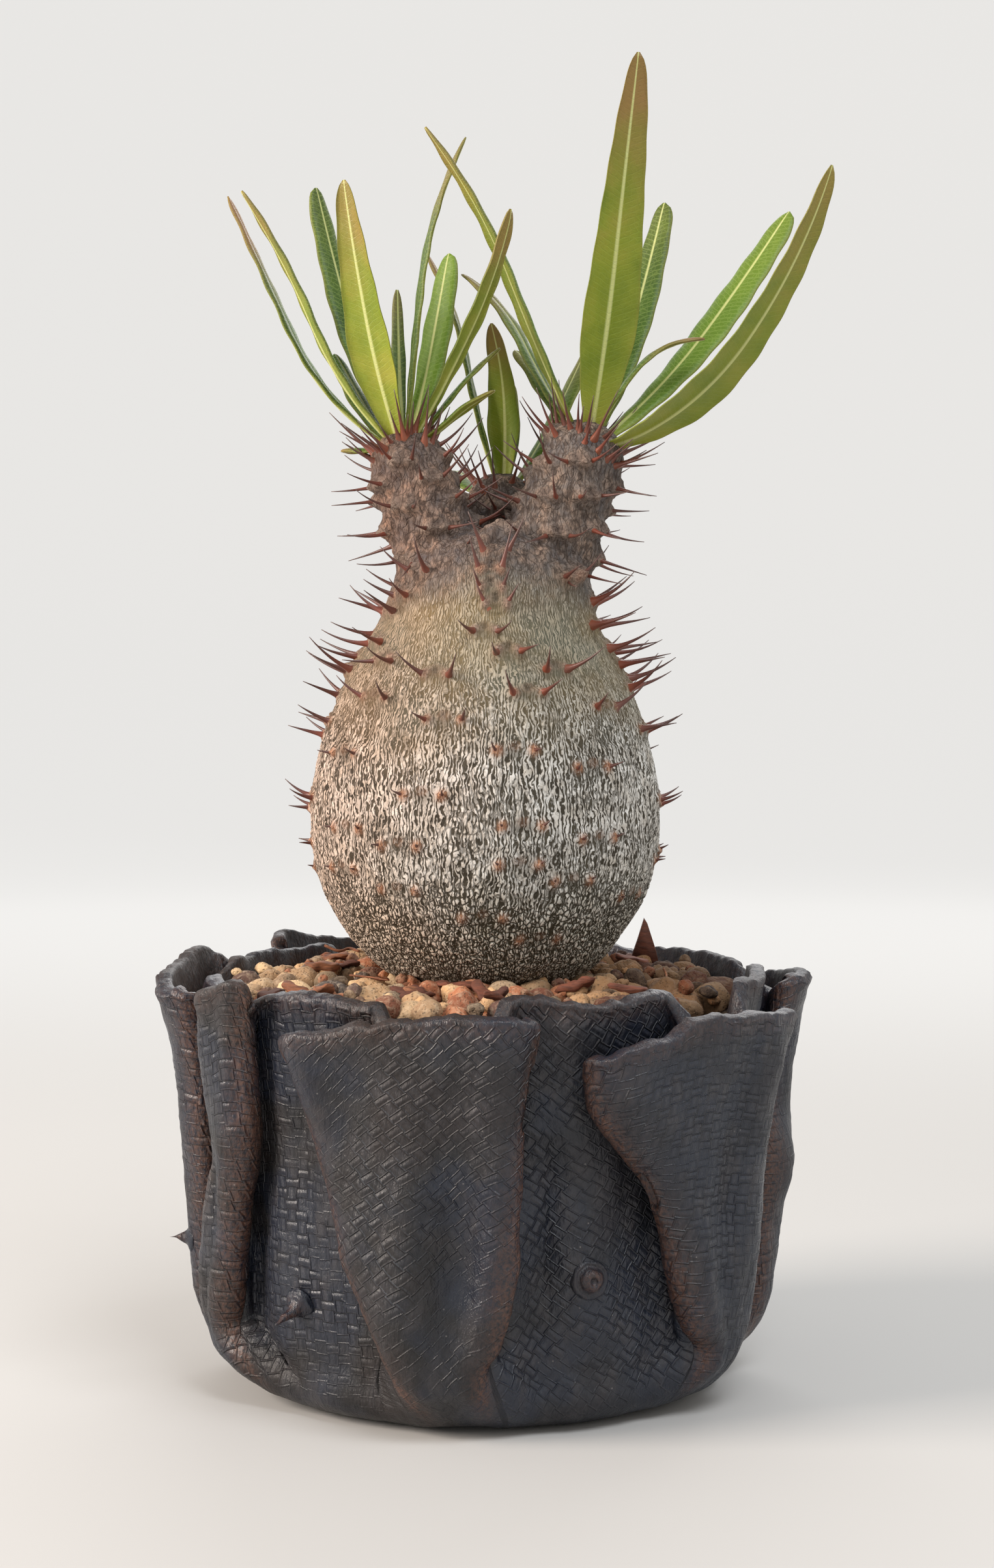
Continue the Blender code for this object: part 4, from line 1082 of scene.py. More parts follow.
def thorn_outline(length):
    """Radii and heights of a thorn from its root to its tip."""
    if length < LOW_THORN:
        boss = [(3.4, 0.0), (3.2, 0.8), (2.8, 1.15), (2.3, 1.1), (2.1, 1.3)]
        return boss + [(1.9, 1.9), (1.5, 2.4), (0.9, 2.6), (0.55, 2.2), (0.1, 2.0)]
    shares = [(3.0, 0.0), (2.75, 0.11), (2.3, 0.16), (2.1, 0.19), (1.75, 0.22)]
    shares += [(1.25, 0.3), (0.85, 0.44), (0.5, 0.65), (0.12, 1.0)]
    return [(radius, share * length) for radius, share in shares]


def thorn_parts(middle):
    """The clay thorns: a broad root, a ring round it and a point."""
    parts = []
    reach = np.hypot(middle[..., 0], middle[..., 1])
    for bearing, height, length, tilt in THORNS:
        beside = np.abs(turned_by(bearings(middle), bearing)) < 1.2
        near = beside & (np.abs(middle[..., 2] - height) < 1.0)
        root = on_bearing(bearing, float(reach[near].max()) + WALL / 2 - 0.8, height)
        out = direction(bearing, tilt)
        side = unit(np.cross(out, [0, 0, 1.0]))
        up = np.cross(side, out)
        outline = thorn_outline(length)
        at = np.linspace(0, len(outline) - 1, THORN_STATIONS)
        radii, heights = smooth_curve(np.array(outline), at).T[:, :, None]
        angles = np.linspace(0, 2 * math.pi, THORN_SIDES, endpoint=False)
        ring = np.cos(angles)[:, None] * side + np.sin(angles)[:, None] * up
        points = root + heights[..., None] * out + radii[..., None] * ring
        points = points + 0.3 * noise(points, 1.3, 31)[..., None] * ring
        # The thorns take the same brown, partly wear and partly painted highlight, growing from the
        # root outward
        worn = 0.6 * smooth_step(0.5, 3.0, heights[:, 0])
        attributes = {
            "weave": np.zeros((points.size // 3, 3)),
            "marked": np.zeros(points.size // 3),
            "edge": np.repeat(worn, THORN_SIDES),
        }
        faces = grid_faces(THORN_STATIONS, THORN_SIDES).tolist()
        faces.append(tuple(range((THORN_STATIONS - 1) * THORN_SIDES, THORN_STATIONS * THORN_SIDES)))
        parts.append((points.reshape(-1, 3), faces, attributes))
    return parts


def rim_lip(edge, normals, up):
    """Rows of points round the top edge of the sheet, from its outer to its inner face."""
    rows = []
    for k in range(1, LIP_ROWS + 1):
        angle = math.pi * k / (LIP_ROWS + 1)
        out, over = square(math.cos(angle)), 0.75 * square(math.sin(angle))
        reach = WALL / 2 * (out * normals + over * up)
        rows.append(edge + reach * (1 + 0.25 * noise(edge + reach, 1.5, 47))[:, None])
    return np.array(rows)


def sheet_faces(rows, count):
    """Faces of the closed sheet, with the wall of the drain hole from its last row to its first."""
    first = np.arange(count)
    after = (first + 1) % count
    last = (rows - 1) * count
    hole = np.stack([first, last + first, last + after, after], axis=1)
    return np.concatenate([grid_faces(rows, count), hole]).tolist()


def add_pot(material):
    middle, columns, heights = sheet_middle()
    middle = middle - sheet_normals(middle) * sheet_dents(middle)[..., None]
    normals = sheet_normals(middle)
    rows, count = middle.shape[:2]
    places, within = weave_places(middle, columns, heights)
    strength = weave_strength(middle, within)
    edge = fold_edges(columns, middle)
    rim = smooth_step(-5.0, 0.0, middle[..., 2] - middle[-1:, :, 2])
    uneven = 0.16 * noise(middle, 7.0, 41) + 0.12 * noise(middle, 1.8, 42)
    crumbs = rim * (0.55 * noise(middle, 1.7, 43) + 0.5 * noise(middle, 5.0, 44))
    ragged = rim * (0.9 * noise(middle, 6.0, 45) + 0.5 * noise(middle, 1.6, 46))
    middle = middle + ragged[..., None] * np.array([0, 0, 1.0])
    outer = middle + normals * (WALL / 2 + uneven + crumbs * 0.5)[..., None]
    lip = rim_lip(middle[-1], normals[-1], unit(middle[-1] - middle[-2]))
    inner_rows = np.unique(np.linspace(rows - 1, 0, INNER_ROWS).astype(int))[::-1]
    inner = (middle - normals * (WALL / 2))[inner_rows]
    sheet = np.concatenate([outer, lip, inner])
    extra = len(sheet) - rows
    attributes = {
        "weave": np.concatenate([places, np.repeat(places[-1:], extra, axis=0)]).reshape(-1, 3),
        "marked": np.concatenate([strength, np.zeros((extra, count))]).ravel(),
        "edge": np.concatenate([edge, np.repeat(edge[-1:] * 0.8, extra, axis=0)]).ravel(),
    }
    faces = sheet_faces(len(sheet), count)
    pot = make_piece("pot_folded_sheet", sheet.reshape(-1, 3), faces, material, attributes)
    displace(pot, weave_relief, WEAVE_DEPTH)
    points, faces, attributes = joined(thorn_parts(middle))
    return [pot, make_piece("pot_thorns", points, faces, material, attributes)]


# The stem


def stem_axis(height):
    """The middle of the swollen stem at that height."""
    return np.array([from_table(height, [(h, x) for _, h, x in STEM_PROFILE]), 0.0, 0.0])


def stem_radius(height):
    return from_table(height, [(h, r) for r, h, _ in STEM_PROFILE])


def lathe_parts(points, radii, sides):
    """A closed tube with those rings: its points and faces."""
    points = np.asarray(points, float)
    tangent = unit(np.gradient(points, axis=0))
    side = unit(np.cross(tangent, [0, 1.0, 0]))
    other = np.cross(tangent, side)
    angles = np.linspace(0, 2 * math.pi, sides, endpoint=False)
    out = np.cos(angles)[:, None] * side[:, None] + np.sin(angles)[:, None] * other[:, None]
    rings = points[:, None] + np.asarray(radii)[:, None, None] * out
    return rings.reshape(-1, 3), tube_faces(len(points), sides)


def swollen_part():
    at = np.linspace(0, len(STEM_PROFILE) - 1, STEM_RINGS)
    radii, heights, shifts = smooth_curve(np.array(STEM_PROFILE), at).T
    centres = np.stack([shifts, np.zeros(len(at)), heights], axis=1)
    return (*lathe_parts(centres, radii, STEM_SIDES), {})


def branch_line(name, count):
    """Points, tangents and radii along the middle of a branch."""
    nodes = np.array([(*p, r) for p, r in BRANCHES[name]])
    line = smooth_curve(nodes, np.linspace(0, len(nodes) - 1, count))
    return line[:, :3], unit(np.gradient(line[:, :3], axis=0)), line[:, 3]


def branch_part(name):
    points, tangents, radii = branch_line(name, BRANCH_RINGS)
    shares = np.sin(np.linspace(0.1, math.pi / 2 - 0.05, DOME_RINGS))
    dome = points[-1] + tangents[-1] * (radii[-1] * 0.8 * shares)[:, None]
    line = np.concatenate([points, dome])
    sizes = np.concatenate([radii, radii[-1] * np.sqrt(1 - shares**2)])
    return (*lathe_parts(line, sizes, BRANCH_SIDES), {})


def branch_nodes(name):
    """The given points along the middle of a branch, with the tangents and radii there."""
    points = np.array([p for p, _ in BRANCHES[name]], float)
    return points, unit(np.gradient(points, axis=0)), [r for _, r in BRANCHES[name]]


def spine_length(bearing, height):
    front = smooth_step(72, 48, abs(bearing))
    shorter = 1 - from_table(height, FRONT_SHARES)
    return from_table(height, SPINE_LENGTHS) * (1 - front * shorter)


def scar_frame(centre, normal, *sizes):
    """A scar as (centre, normal, side, up, spread, spine length, on a branch)."""
    side = unit(np.cross([0, 0, 1.0], normal))
    return (centre, normal, side, np.cross(normal, side), *sizes)


def stem_scar(bearing, height):
    centre = stem_axis(height) + on_bearing(bearing, stem_radius(height) - 0.2, height)
    on_neck_front = abs(bearing) < 5 and height > 136
    tilt = FRONT_TILT if on_neck_front else from_table(height, SPINE_TILTS)
    sizes = from_table(height, SPINE_SPREADS), spine_length(bearing, height)
    return scar_frame(centre, direction(bearing, tilt), *sizes, False)


def branch_scar(name, k):
    """The scar number k of a branch, counted from its foot."""
    points, tangents, radii = branch_nodes(name)
    share = k / (BRANCH_SCARS[name] - 1)
    along = 0.9 + (len(points) - 1.9) * share
    i = min(len(points) - 2, int(along))
    t = along - i
    tangent = unit(tangents[i] + t * (tangents[i + 1] - tangents[i]))
    radius = radii[i] + t * (radii[i + 1] - radii[i])
    out = on_bearing(k * GOLDEN_ANGLE + 40, 1.0, 0.0)
    out = unit(out - tangent * (out @ tangent))
    centre = points[i] + t * (points[i + 1] - points[i]) + out * (radius - 0.5)
    lift = BRANCH_TILTS[0] + share * (BRANCH_TILTS[1] - BRANCH_TILTS[0])
    normal = unit(out + math.tan(math.radians(lift)) * tangent)
    return scar_frame(centre, normal, BRANCH_SPREAD, BRANCH_SPINE, True)


def scar_frames():
    """Every scar of the stem and its branches."""
    behind = [(bearing + 180, height - 1.5) for bearing, height in SCARS]
    frames = [stem_scar(*scar) for scar in SCARS + behind]
    for name, count in BRANCH_SCARS.items():
        frames += [branch_scar(name, k) for k in range(count)]
    return frames


def scar_shape(points):
    """How far the scars raise the bark at each point, in mm, how bare of ridges it is there, how
    much of a knob it is, and how much of the eye of a leaf scar."""
    raised, bare, knob, eye = np.zeros((4, len(points)))
    for centre, normal, side, up, spread, length, on_branch in scar_frames():
        near = np.flatnonzero(np.sum((points - centre) ** 2, axis=1) < SCAR_REACH**2)
        offset = points[near] - centre
        x, y = offset @ side, offset @ up
        size = 1.25 if on_branch else 0.7 + 0.05 * length
        share = min(1.0, 0.6 + length / 12)
        places = (x - spread / 2, x + spread / 2)
        cones = sum(np.exp(-(beside**2 + y**2) / (0.85 * size) ** 2) for beside in places)
        swell = np.exp(-((x / (1.9 * size)) ** 2) - ((y - 0.3) / (1.5 * size)) ** 2)
        cup = np.hypot(x / (1.0 * size), (y - 0.7) / (0.75 * size))
        ring = np.exp(-(((cup - 1) / 0.32) ** 2))
        hollow = np.exp(-((cup / 0.8) ** 2))
        reach = np.hypot(x * 0.75, y + 0.2)
        wrinkles = np.cos(2 * math.pi * reach / 0.85) * np.exp(-((reach / 3.0) ** 2))
        cushion = 1.2 if on_branch else 0.1 + 0.03 * length
        plate = 0.36 * ring - 0.45 * hollow + 0.12 * wrinkles
        raised[near] += share * (0.95 * cones + cushion * swell + plate)
        bare[near] = np.maximum(bare[near], share * np.exp(-((reach / (2.0 * size)) ** 2)))
        tint = np.clip(1.5 * cones ** (1.5 if length > 4 else 0.8) + 0.22 * ring + 0.3 * hollow, 0, 1)
        knob[near] = np.maximum(knob[near], share * tint)
        eye[near] = np.maximum(eye[near], hollow if on_branch else 0.45 * share * hollow)
    return raised, bare, knob, eye


def branch_share(points):
    """0 on the swollen stem and 1 on the branches."""
    height = points[:, 2] + 0.25 * np.abs(points[:, 0]) + 2.5 * noise(points, 7.0, 3)
    return smooth_step(136.0, 148.0, height)


def grain_places(points):
    """The points in units of a grain of the bark, which is short low down and long higher up."""
    up = np.interp(points[:, 2], *zip(*GRAIN_COUNTS))
    return np.stack([points[:, 0] / GRAIN_WIDTH, points[:, 1] / GRAIN_WIDTH, up], axis=1)


def stem_skin(material):
    """The even skin of the stem and its branches, without any relief."""
    points, faces, _ = joined([swollen_part()] + [branch_part(name) for name in BRANCHES])
    stem = make_piece("stem_bark_skin", points, faces, material)
    skin = stem.modifiers.new("skin", "REMESH")
    skin.mode = "VOXEL"
    skin.voxel_size = STEM_VOXEL * MM
    even = stem.modifiers.new("even", "SMOOTH")
    even.factor = 0.5
    even.iterations = SKIN_ROUNDS
    bake_modifiers(stem)
    stem.data.shade_smooth()
    stem.data.materials.clear()
    stem.data.materials.append(material)
    return stem


def bark_attributes(points, branch, bare, knob, eye):
    """What the bark's relief and material need at each point."""
    height = points[:, 2]
    upright = points * np.array([1, 1, 0.6])
    warp = 0.5 * vector_noise(points, 2.2, (53, 54, 55))
    warp = warp + 0.25 * vector_noise(points, 0.8, (58, 59, 60))
    neck = smooth_step(106, 130, height + 5 * noise(points, 16.0, 8)) * (1 - branch)
    low = smooth_step(98, 76, height + 6 * noise(points, 9.0, 10))
    # Painted cool light on the right side (+X)
    painted_cool_light = smooth_step(-4, 26, points[:, 0] + 6 * noise(points, 11.0, 13))
    gap = 0.1 + 0.07 * smooth_step(98, 116, height) - 0.06 * neck
    return {
        "grain": grain_places(points + warp),
        "sway": 7 * noise(upright, 5.0, 51) + 3 * noise(upright, 2.2, 52),
        "gap": gap + 0.03 * noise(points, 6.0, 56),
        "cut": np.clip(low + 0.4 + 0.5 * noise(points, 4.0, 57), 0, 1),
        "rough": (1 - 0.7 * bare) * (1 - 0.7 * branch) * (1 - 0.3 * neck),
        "scar": knob,
        "eye": eye,
        "branch": branch,
        "olive": neck,
        # Painted warm light on the left side (-X)
        "painted_warm_light": smooth_step(4, -26, points[:, 0] + 6 * noise(points, 13.0, 9)),
        "painted_cool_light": painted_cool_light * smooth_step(100, 128, height),
        "low": low,
        "earth": smooth_step(76, 69, height + 1.5 * noise(points, 5.0, 12)) * 0.75,
    }


def add_stem(material):
    stem = stem_skin(material)
    points, normals = read_points(stem.data), read_normals(stem.data)
    branch = branch_share(points)
    raised, bare, knob, eye = scar_shape(points)
    swell = 0.3 * noise(points, 14.0, 1) + 0.14 * noise(points, 5.0, 2)
    upright = points * np.array([1, 1, 0.6])
    creases = branch * (0.3 * noise(upright, 1.6, 4) + 0.24 * noise(points, 0.9, 5))
    write_points(stem.data, points + normals * (swell + raised + creases)[:, None])
    add_attributes(stem.data, bark_attributes(points, branch, bare, knob, eye))
    displace(stem, bark_relief, RIDGE_DEPTH)
    return stem


def spine_part(root, out, up, length, own, bend, slim):
    """One spine: a broad flared root that narrows to a needle, curved as a claw is."""
    t = np.linspace(0, 1, SPINE_STATIONS) ** 1.5
    sweep = bend * length * (t**2 - 0.35 * t)
    line = root + np.outer(t * (length + 1.0) - 1.0, out) + np.outer(sweep, up)
    thick = slim * (0.74 + 0.018 * length)
    radii = thick * (0.6 * (1 - t) ** 1.1 + 0.75 * np.exp(-((t / 0.2) ** 2))) + 0.06
    points, faces = lathe_parts(line, radii, SPINE_SIDES)
    along = np.repeat(t, SPINE_SIDES)
    return points, faces, {"along": along, "own": np.full(len(points), own)}


def crown_spines(name, draw):
    """Short spines that stand close together round the top of a branch."""
    points, tangents, radii = branch_line(name, 4)
    tip, radius = tangents[-1], radii[-1]
    side = unit(np.cross(tip, [0, 1.0, 0]))
    other = np.cross(tip, side)
    parts = []
    for k in range(CROWN_SPINES[name]):
        around = math.radians(k * GOLDEN_ANGLE)
        polar = math.radians(draw.uniform(38, 92))
        flat = math.cos(around) * side + math.sin(around) * other
        root = points[-1] + radius * (0.96 * math.sin(polar) * flat + 0.76 * math.cos(polar) * tip)
        out = unit(flat * math.sin(polar) * 0.8 + tip * draw.uniform(0.5, 1.1))
        length, own, bend = draw.uniform(*CROWN_LENGTHS), draw.random(), draw.uniform(0.0, 0.3)
        parts.append(spine_part(root, out, tip, length, own, bend, CROWN_SLIM))
    return parts


def add_spines(material):
    draw = random.Random(11)
    parts = []
    for centre, normal, side, up, spread, length, on_branch in scar_frames():
        for hand in (-1, 1):
            lean = side * hand * draw.uniform(0.25, 0.6) + up * draw.uniform(-0.16, 0.16)
            sized = length * draw.uniform(0.82, 1.04)
            root = centre + side * hand * spread / 2
            bend = draw.uniform(0.0, 0.44)
            slim = BRANCH_SLIM if on_branch else 1.0
            parts.append(spine_part(root, unit(normal + lean), up, sized, draw.random(), bend, slim))
    for name in BRANCHES:
        parts += crown_spines(name, draw)
    points, faces, attributes = joined(parts)
    return make_piece("stem_spines", points, faces, material, attributes)


# The leaves


def leaf_outline(share, widest):
    """The half width along a leaf, as a share of its greatest half width. The tip is blunt."""
    rising = 0.3 + 0.7 * np.sin(math.pi / 2 * np.minimum(share / widest, 1))
    past = np.clip((share - widest) / (1 - widest), 0, 1)
    narrowing = float(np.interp(widest, [0.38, 0.6], [0.6, 0.35]))
    falling = (1 - narrowing * past) * np.sqrt(1 - past**10)
    return np.where(share < widest, rising, falling)


def leaf_path(branch, bearing, slopes, length):
    """Points up the midrib, from just clear of the branch's dome."""
    points, tangents, radii = branch_nodes(branch)
    first, radius = direction(bearing, slopes[0]), radii[-1]
    along = first @ tangents[-1]
    across = np.linalg.norm(first - along * tangents[-1])
    reach = radius if along < 0 else 1 / math.hypot(along / (0.8 * radius), across / radius)
    share = (np.arange(LEAF_STATIONS - 1) + 0.5) / (LEAF_STATIONS - 1)
    steps = [direction(bearing, np.interp(s, [0, 0.5, 1], slopes)) for s in share]
    steps = np.array(steps) * (length - LEAF_ROOT) / (LEAF_STATIONS - 1)
    start = points[-1] + first * (reach + LEAF_ROOT)
    return np.concatenate([[start], start + np.cumsum(steps, axis=0)])


def leaf_axes(path, bearing, roll):
    """Unit vectors across the leaf and out of its upper face, at each point of its midrib."""
    across = on_bearing(bearing + 90, 1.0, 0.0)
    upper = unit(np.cross(unit(np.gradient(path, axis=0)), across))
    roll = math.radians(roll)
    aside = across * math.cos(roll) + upper * math.sin(roll)
    return aside, upper * math.cos(roll) - across * math.sin(roll)


def there_and_back(values):
    """Values across the upper side of each station, and back across its under side."""
    return np.concatenate([values, values[:, ::-1]], axis=1).ravel()


def leaf_faces(q, half, share, rib, phase, fold, width, length):
    """Heights in mm of the upper and the under face, at each station and share q of its width."""
    sway = share * length / 7.5 + phase + 0.2 * np.sign(q)
    wave = 0.12 * np.sin(2 * math.pi * sway)
    arch = -LEAF_ARCH * half * q**2 + fold * 0.45 * half * np.abs(q)
    curl = -0.28 * np.clip((np.abs(q) - 0.82) / 0.18, 0, 1) ** 2 * np.minimum(1, half / 2)
    lift = arch + curl + wave * q**2
    blade = LEAF_THICKNESS / 2 * (1 - 0.55 * q**4)
    taper = np.minimum(1, 0.35 + half / (width / 2))
    groove = 0.12 * rib
    keel = 0.42 * (1 - 0.6 * share) * rib
    return lift + (blade - groove) * taper, lift - (blade + keel) * taper


def add_leaf(name, seed, material):
    branch, bearing, slopes, length, width, widest, fold, brown, blue = LEAVES[name]
    path = leaf_path(branch, bearing, slopes, length)
    aside, upper = leaf_axes(path, bearing, LEAF_ROLLS.get(name, 0))
    share = np.linspace(0, 1, LEAF_STATIONS)[:, None]
    half = np.maximum(0.3, width / 2 * leaf_outline(share, widest))
    q = np.sin(np.linspace(-math.pi / 2, math.pi / 2, LEAF_ACROSS + 1))[None, :]
    rib = np.exp(-((q * half / (0.62 * (1 - 0.75 * share))) ** 2))
    top, bottom = leaf_faces(q, half, share, rib, seed * 0.37, fold, width, length)
    side = path[:, None] + aside[:, None] * (q * half)[..., None]
    top_points = side + upper[:, None] * top[..., None]
    bottom_points = side + upper[:, None] * bottom[..., None]
    loop = np.concatenate([top_points, bottom_points[:, ::-1]], axis=1)
    faces = tube_faces(LEAF_STATIONS, loop.shape[1])
    flat = np.zeros(rib.shape)
    blade = [there_and_back(flat + values) for values in (q * half, share * length, 0.0)]
    attributes = {
        "blade": np.stack(blade, axis=1),
        "upper": np.concatenate([flat + 1, flat], axis=1).ravel(),
        "share": there_and_back(flat + share),
        "across": there_and_back(np.abs(flat + q)),
        "rib": there_and_back(rib),
        "brown": there_and_back(flat + brown),
        "blue": there_and_back(flat + blue),
    }
    return make_piece(name + "_blade", loop.reshape(-1, 3), faces, material, attributes)


# The gritty mix


def stone_places():
    """Where the large stones lie, from the same seeded draw that placed them in the imported CAD model.
    """
    draw = random.Random(7)
    places = []
    tries = 0
    while len(places) < LARGE_STONES and tries < LARGE_TRIES:
        tries += 1
        radius = draw.uniform(*LARGE_RADII)
        bearing = draw.uniform(0, 360)
        reach = math.sqrt(draw.uniform(LARGE_REACH[0] ** 2, LARGE_REACH[1] ** 2))
        squash = draw.uniform(0.6, 0.9)
        turn = draw.uniform(0, 360)
        if reach + radius > LARGE_LIMIT:
            continue
        x, y, _ = on_bearing(bearing, reach, 0)
        if any(math.hypot(x - p[0], y - p[1]) < 0.8 * (radius + p[3]) for p in places):
            continue
        places.append((x, y, SOIL_HEIGHT + 0.25 * radius, radius, squash, turn))
    return places


def unit_ball(subdivisions):
    """Points and faces of a ball of radius 1."""
    ball = bmesh.new()
    bmesh.ops.create_icosphere(ball, subdivisions=subdivisions, radius=1.0)
    points = np.array([v.co for v in ball.verts])
    faces = [tuple(v.index for v in f.verts) for f in ball.faces]
    ball.free()
    return points, faces


def stone_part(ball, x, y, z, radius, squash, turn, draw):
    """A broken stone: a ball cut by a dozen planes, then roughened."""
    directions, faces = ball
    cuts = unit(np.array([[draw.gauss(0, 1) for _ in range(3)] for _ in range(STONE_CUTS)]))
    depths = np.array([draw.uniform(0.72, 1.0) for _ in range(STONE_CUTS)])
    facing = directions @ cuts.T
    reach = np.min(np.where(facing > 0.05, depths / np.maximum(facing, 0.05), 9.0), axis=1)
    reach = np.minimum(reach, 1.06)
    points = directions * reach[:, None] * radius * np.array([1.0, 0.85, squash])
    turned = rotation("Z", turn) @ rotation("X", turn / 7)
    points = points @ turned.T + np.array([x, y, z])
    rough = 0.10 * radius * noise(points, 0.5 * radius, 61) + 0.12 * noise(points, 0.7, 62)
    points = points + unit(points - np.array([x, y, z])) * rough[:, None]
    own = draw.random()
    return points, faces, {"own": np.full(len(points), own)}


def clear_of_stem(x, y, z, radius):
    """Whether a ball there stays clear of the swollen stem."""
    for r, h, shift in STEM_PROFILE[3:]:
        flat = math.hypot(x - shift, y)
        if math.hypot(flat - min(r, flat), z - h) < radius + 0.6:
            return False
    return True


def small_places(placed, draw):
    """Stones dropped one by one, the larger first; each rests on the bed or on those below."""
    resting = [(x, y, z, r) for x, y, z, r, _, _ in placed]
    found = []
    while len(found) < SMALL_STONES:
        smallest, largest = next(sizes for count, sizes in STONE_SIZES if len(found) < count)
        radius = draw.uniform(smallest, largest)
        bearing = draw.uniform(0, 360)
        reach = math.sqrt(draw.uniform(SMALL_REACH[0] ** 2, SMALL_REACH[1] ** 2))
        if reach + 0.8 * radius > SOIL_RADIUS - 1.0:
            continue
        x, y, _ = on_bearing(bearing, reach, 0)
        z = SOIL_HEIGHT + 0.2 * radius
        for ox, oy, oz, other in resting:
            flat = math.hypot(x - ox, y - oy)
            gap = 0.8 * (radius + other)
            if flat < gap:
                z = max(z, oz + 0.75 * math.sqrt(gap**2 - flat**2))
        if z + radius > MIX_TOP - 0.03 * reach or not clear_of_stem(x, y, z, 0.8 * radius - 0.6):
            continue
        resting.append((x, y, z, radius))
        found.append((x, y, z, radius, draw.uniform(0.6, 0.95), draw.uniform(0, 360)))
    return found


def chip_part(x, y, z, size, turn, tilt, draw):
    """A flat splinter of bark."""
    length, width, thick = size
    t = np.linspace(-1, 1, CHIP_STATIONS)[:, None]
    s = np.linspace(0, 2 * math.pi, CHIP_SIDES, endpoint=False)
    across, over = [np.sign(v) * np.abs(v) ** 0.5 for v in (np.cos(s), np.sin(s))]
    taper = (1 - np.abs(t) ** draw.uniform(2, 5)) ** 0.5 * 0.9 + 0.1
    along = np.repeat(t, CHIP_SIDES, axis=1) * length / 2
    body = np.stack([along, taper * across * width / 2, taper * over * thick / 2], axis=-1)
    body = body.reshape(-1, 3)
    body[:, 2] += 0.12 * length * (body[:, 0] / length) ** 2
    turned = rotation("Z", turn) @ rotation("Y", -tilt)
    points = body @ turned.T + np.array([x, y, z])
    points = points + 0.5 * vector_noise(points, 1.7, (71, 72, 73))
    faces = tube_faces(CHIP_STATIONS, CHIP_SIDES)
    return points, faces, {"own": np.full(len(points), draw.random())}


def top_of(places, x, y):
    """How high the stones reach at that point."""
    top = SOIL_HEIGHT
    for ox, oy, oz, radius, squash, _ in places:
        flat = math.hypot(x - ox, y - oy)
        if flat < radius:
            top = max(top, oz + squash * math.sqrt(radius**2 - flat**2))
    return top


def splinter_part():
    """The pointed splinter of bark that stands upright behind the stem, on its right."""
    outline = np.array([(-3.2, 0.0), (3.0, -0.6), (2.2, 2.6), (0.5, 7.4), (-0.2, 8.4), (-1.6, 4.2)])
    right, back, up = SPLINTER_PLACE
    points = []
    for thick in (-0.6, 0.6):
        for x, z in outline:
            points.append([right + 0.9 * x, back + thick - 0.3 * x, up + z + 0.2 * thick])
    return np.array(points), tube_faces(2, len(outline)), {"own": np.full(len(points), 0.3)}


def loose_chips(places, draw):
    """Chips of bark that lie on the stones, most of them on the front and the left."""
    parts = []
    while len(parts) < BARK_CHIPS:
        bearing = draw.choice([draw.uniform(0, 360), draw.gauss(-15, 30)])
        reach = math.sqrt(draw.uniform(CHIP_REACH[0] ** 2, CHIP_REACH[1] ** 2))
        x, y, _ = on_bearing(bearing, reach, 0)
        size = [draw.uniform(*limits) for limits in CHIP_SIZES]
        z = min(top_of(places, x, y) + 0.3, CHIP_TOP)
        turn, tilt = draw.uniform(0, 360), draw.uniform(-24, 24)
        if clear_of_stem(x, y, z, 1.0):
            parts.append(chip_part(x, y, z, size, turn, tilt, draw))
    return parts


def fibre_parts(places, draw):
    parts = []
    for _ in range(FIBRES):
        reach, bearing = draw.uniform(*FIBRE_REACH), draw.uniform(0, 360)
        x, y, _ = on_bearing(bearing, reach, 0)
        start = np.array([x, y, min(top_of(places, x, y) + 0.3, FIBRE_TOP)])
        limits = ((-3.5, 3.5), (-3.5, 3.5), (-0.4, 1.0))
        bends = [[draw.uniform(*limit) for limit in limits] for _ in range(4)]
        line = smooth_curve(start + np.cumsum(bends, axis=0), np.linspace(0, 3, 14))
        points, faces = lathe_parts(line, [draw.uniform(*FIBRE_RADII)] * len(line), 6)
        parts.append((points, faces, {"own": np.full(len(points), draw.uniform(0.6, 1.0))}))
    return parts


def add_chips(places, material):
    draw = random.Random(29)
    parts = [splinter_part()] + loose_chips(places, draw) + fibre_parts(places, draw)
    points, faces, attributes = joined(parts)
    return make_piece("mix_bark_chips", points, faces, material, attributes)


def add_bed(material):
    """The dark grit between the stones, down to the floor of the pot."""
    radii = np.concatenate([[0.5], np.linspace(3, SOIL_RADIUS - 0.8, BED_RINGS)])
    top = ring_points(radii, BED_SIDES, SOIL_HEIGHT - 0.6)
    top[..., 2] += 0.7 * noise(top, 2.0, 81) + 0.4 * noise(top, 0.9, 82)
    wall = [top[-1] * [share, share, 0] + [0, 0, z] for share, z in BED_WALL]
    rings = np.concatenate([top, np.array(wall)])
    faces = [face[::-1] for face in tube_faces(len(rings), BED_SIDES)]
    return make_piece("mix_dark_bed", rings.reshape(-1, 3), faces, material)


def add_mix(stone, chip, bed):
    draw = random.Random(17)
    large = [place for place in stone_places() if clear_of_stem(*place[:4])]
    small = small_places(large, draw)
    pieces = []
    sizes = [("mix_large_stones", unit_ball(4), large), ("mix_small_stones", unit_ball(3), small)]
    for name, ball, places in sizes:
        parts = [stone_part(ball, *place, draw) for place in places]
        points, faces, attributes = joined(parts)
        pieces.append(make_piece(name, points, faces, stone, attributes))
    pieces.append(add_chips(large + small, chip))
    pieces.append(add_bed(bed))
    return pieces


# The studio


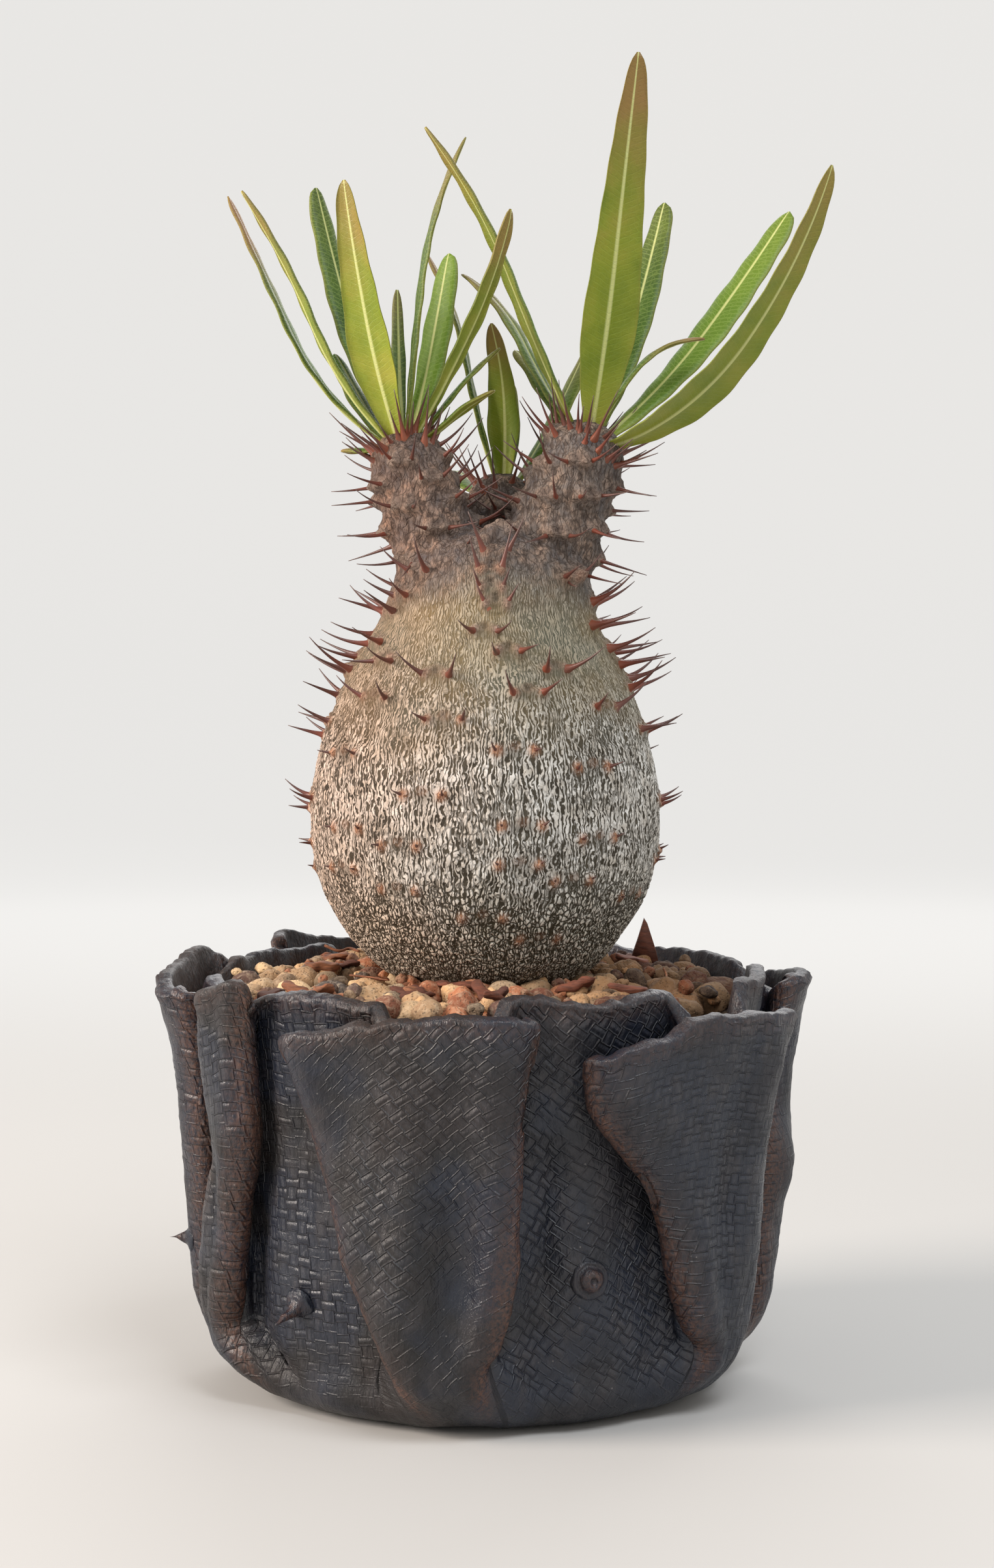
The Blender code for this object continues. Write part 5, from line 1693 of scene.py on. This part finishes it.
def add_lamp(name, place, size, power, colour):
    data = bpy.data.lights.new(name, "AREA")
    data.shape = "RECTANGLE"
    data.size, data.size_y = size
    data.energy = power
    data.color = colour
    lamp = bpy.data.objects.new(name, data)
    lamp.location = place
    lamp.rotation_euler = (Vector(LAMP_TARGET) - Vector(place)).to_track_quat("-Z", "Y").to_euler()
    lamp.visible_camera = False
    bpy.context.scene.collection.objects.link(lamp)


def add_backdrop():
    """A pale floor that curves up into a wall all round, so that no horizon shows."""
    outline = [(0.0, 0.0), (0.8, 0.0), (1.3, 0.03), (1.55, 0.16), (1.68, 0.4), (1.7, 0.8), (1.7, 1.3)]
    line = smooth_curve(np.array(outline) / MM, np.linspace(0, len(outline) - 1, 60))
    rings = ring_points(line[1:, 0], BACKDROP_SIDES, line[1:, 1:])
    faces = grid_faces(len(rings), BACKDROP_SIDES).tolist()
    faces.append(tuple(range(BACKDROP_SIDES))[::-1])
    floor = make_piece("studio_floor", rings.reshape(-1, 3), faces, paper_material())


def add_studio():
    add_backdrop()
    for name, settings in LAMPS.items():
        add_lamp(name, *settings)
    world = bpy.data.worlds.new("studio")
    world.use_nodes = True
    background = world.node_tree.nodes["Background"]
    background.inputs["Color"].default_value = srgb(238, 240, 242)
    background.inputs["Strength"].default_value = 0.42
    scene = bpy.context.scene
    scene.world = world
    scene.view_settings.view_transform = "Standard"


def add_camera():
    data = bpy.data.cameras.new("camera")
    data.sensor_fit = "VERTICAL"
    data.sensor_height = CAMERA_SENSOR
    data.sensor_width = CAMERA_SENSOR
    data.lens = CAMERA_LENS
    data.clip_start = 0.01
    data.clip_end = 50
    camera = bpy.data.objects.new("camera", data)
    camera.location = CAMERA_PLACE
    camera.rotation_euler = (math.radians(90 - CAMERA_DOWN), 0, 0)
    bpy.context.scene.collection.objects.link(camera)
    bpy.context.scene.camera = camera


def settle(piece, node):
    """The piece rides on the part's one body and stands for that CAD node, which is hidden."""
    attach(piece, "root")
    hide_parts(node)


def main():
    for piece in add_pot(clay_material()):
        settle(piece, "pot")
    for piece in add_mix(stone_material(), chip_material(), soil_material()):
        settle(piece, "gritty_mix")
    settle(add_stem(bark_material()), "stem")
    settle(add_spines(spine_material()), "stem")
    leaf = leaf_material()
    for seed, name in enumerate(LEAVES):
        settle(add_leaf(name, seed, leaf), name)
    add_studio()
    add_camera()


main()
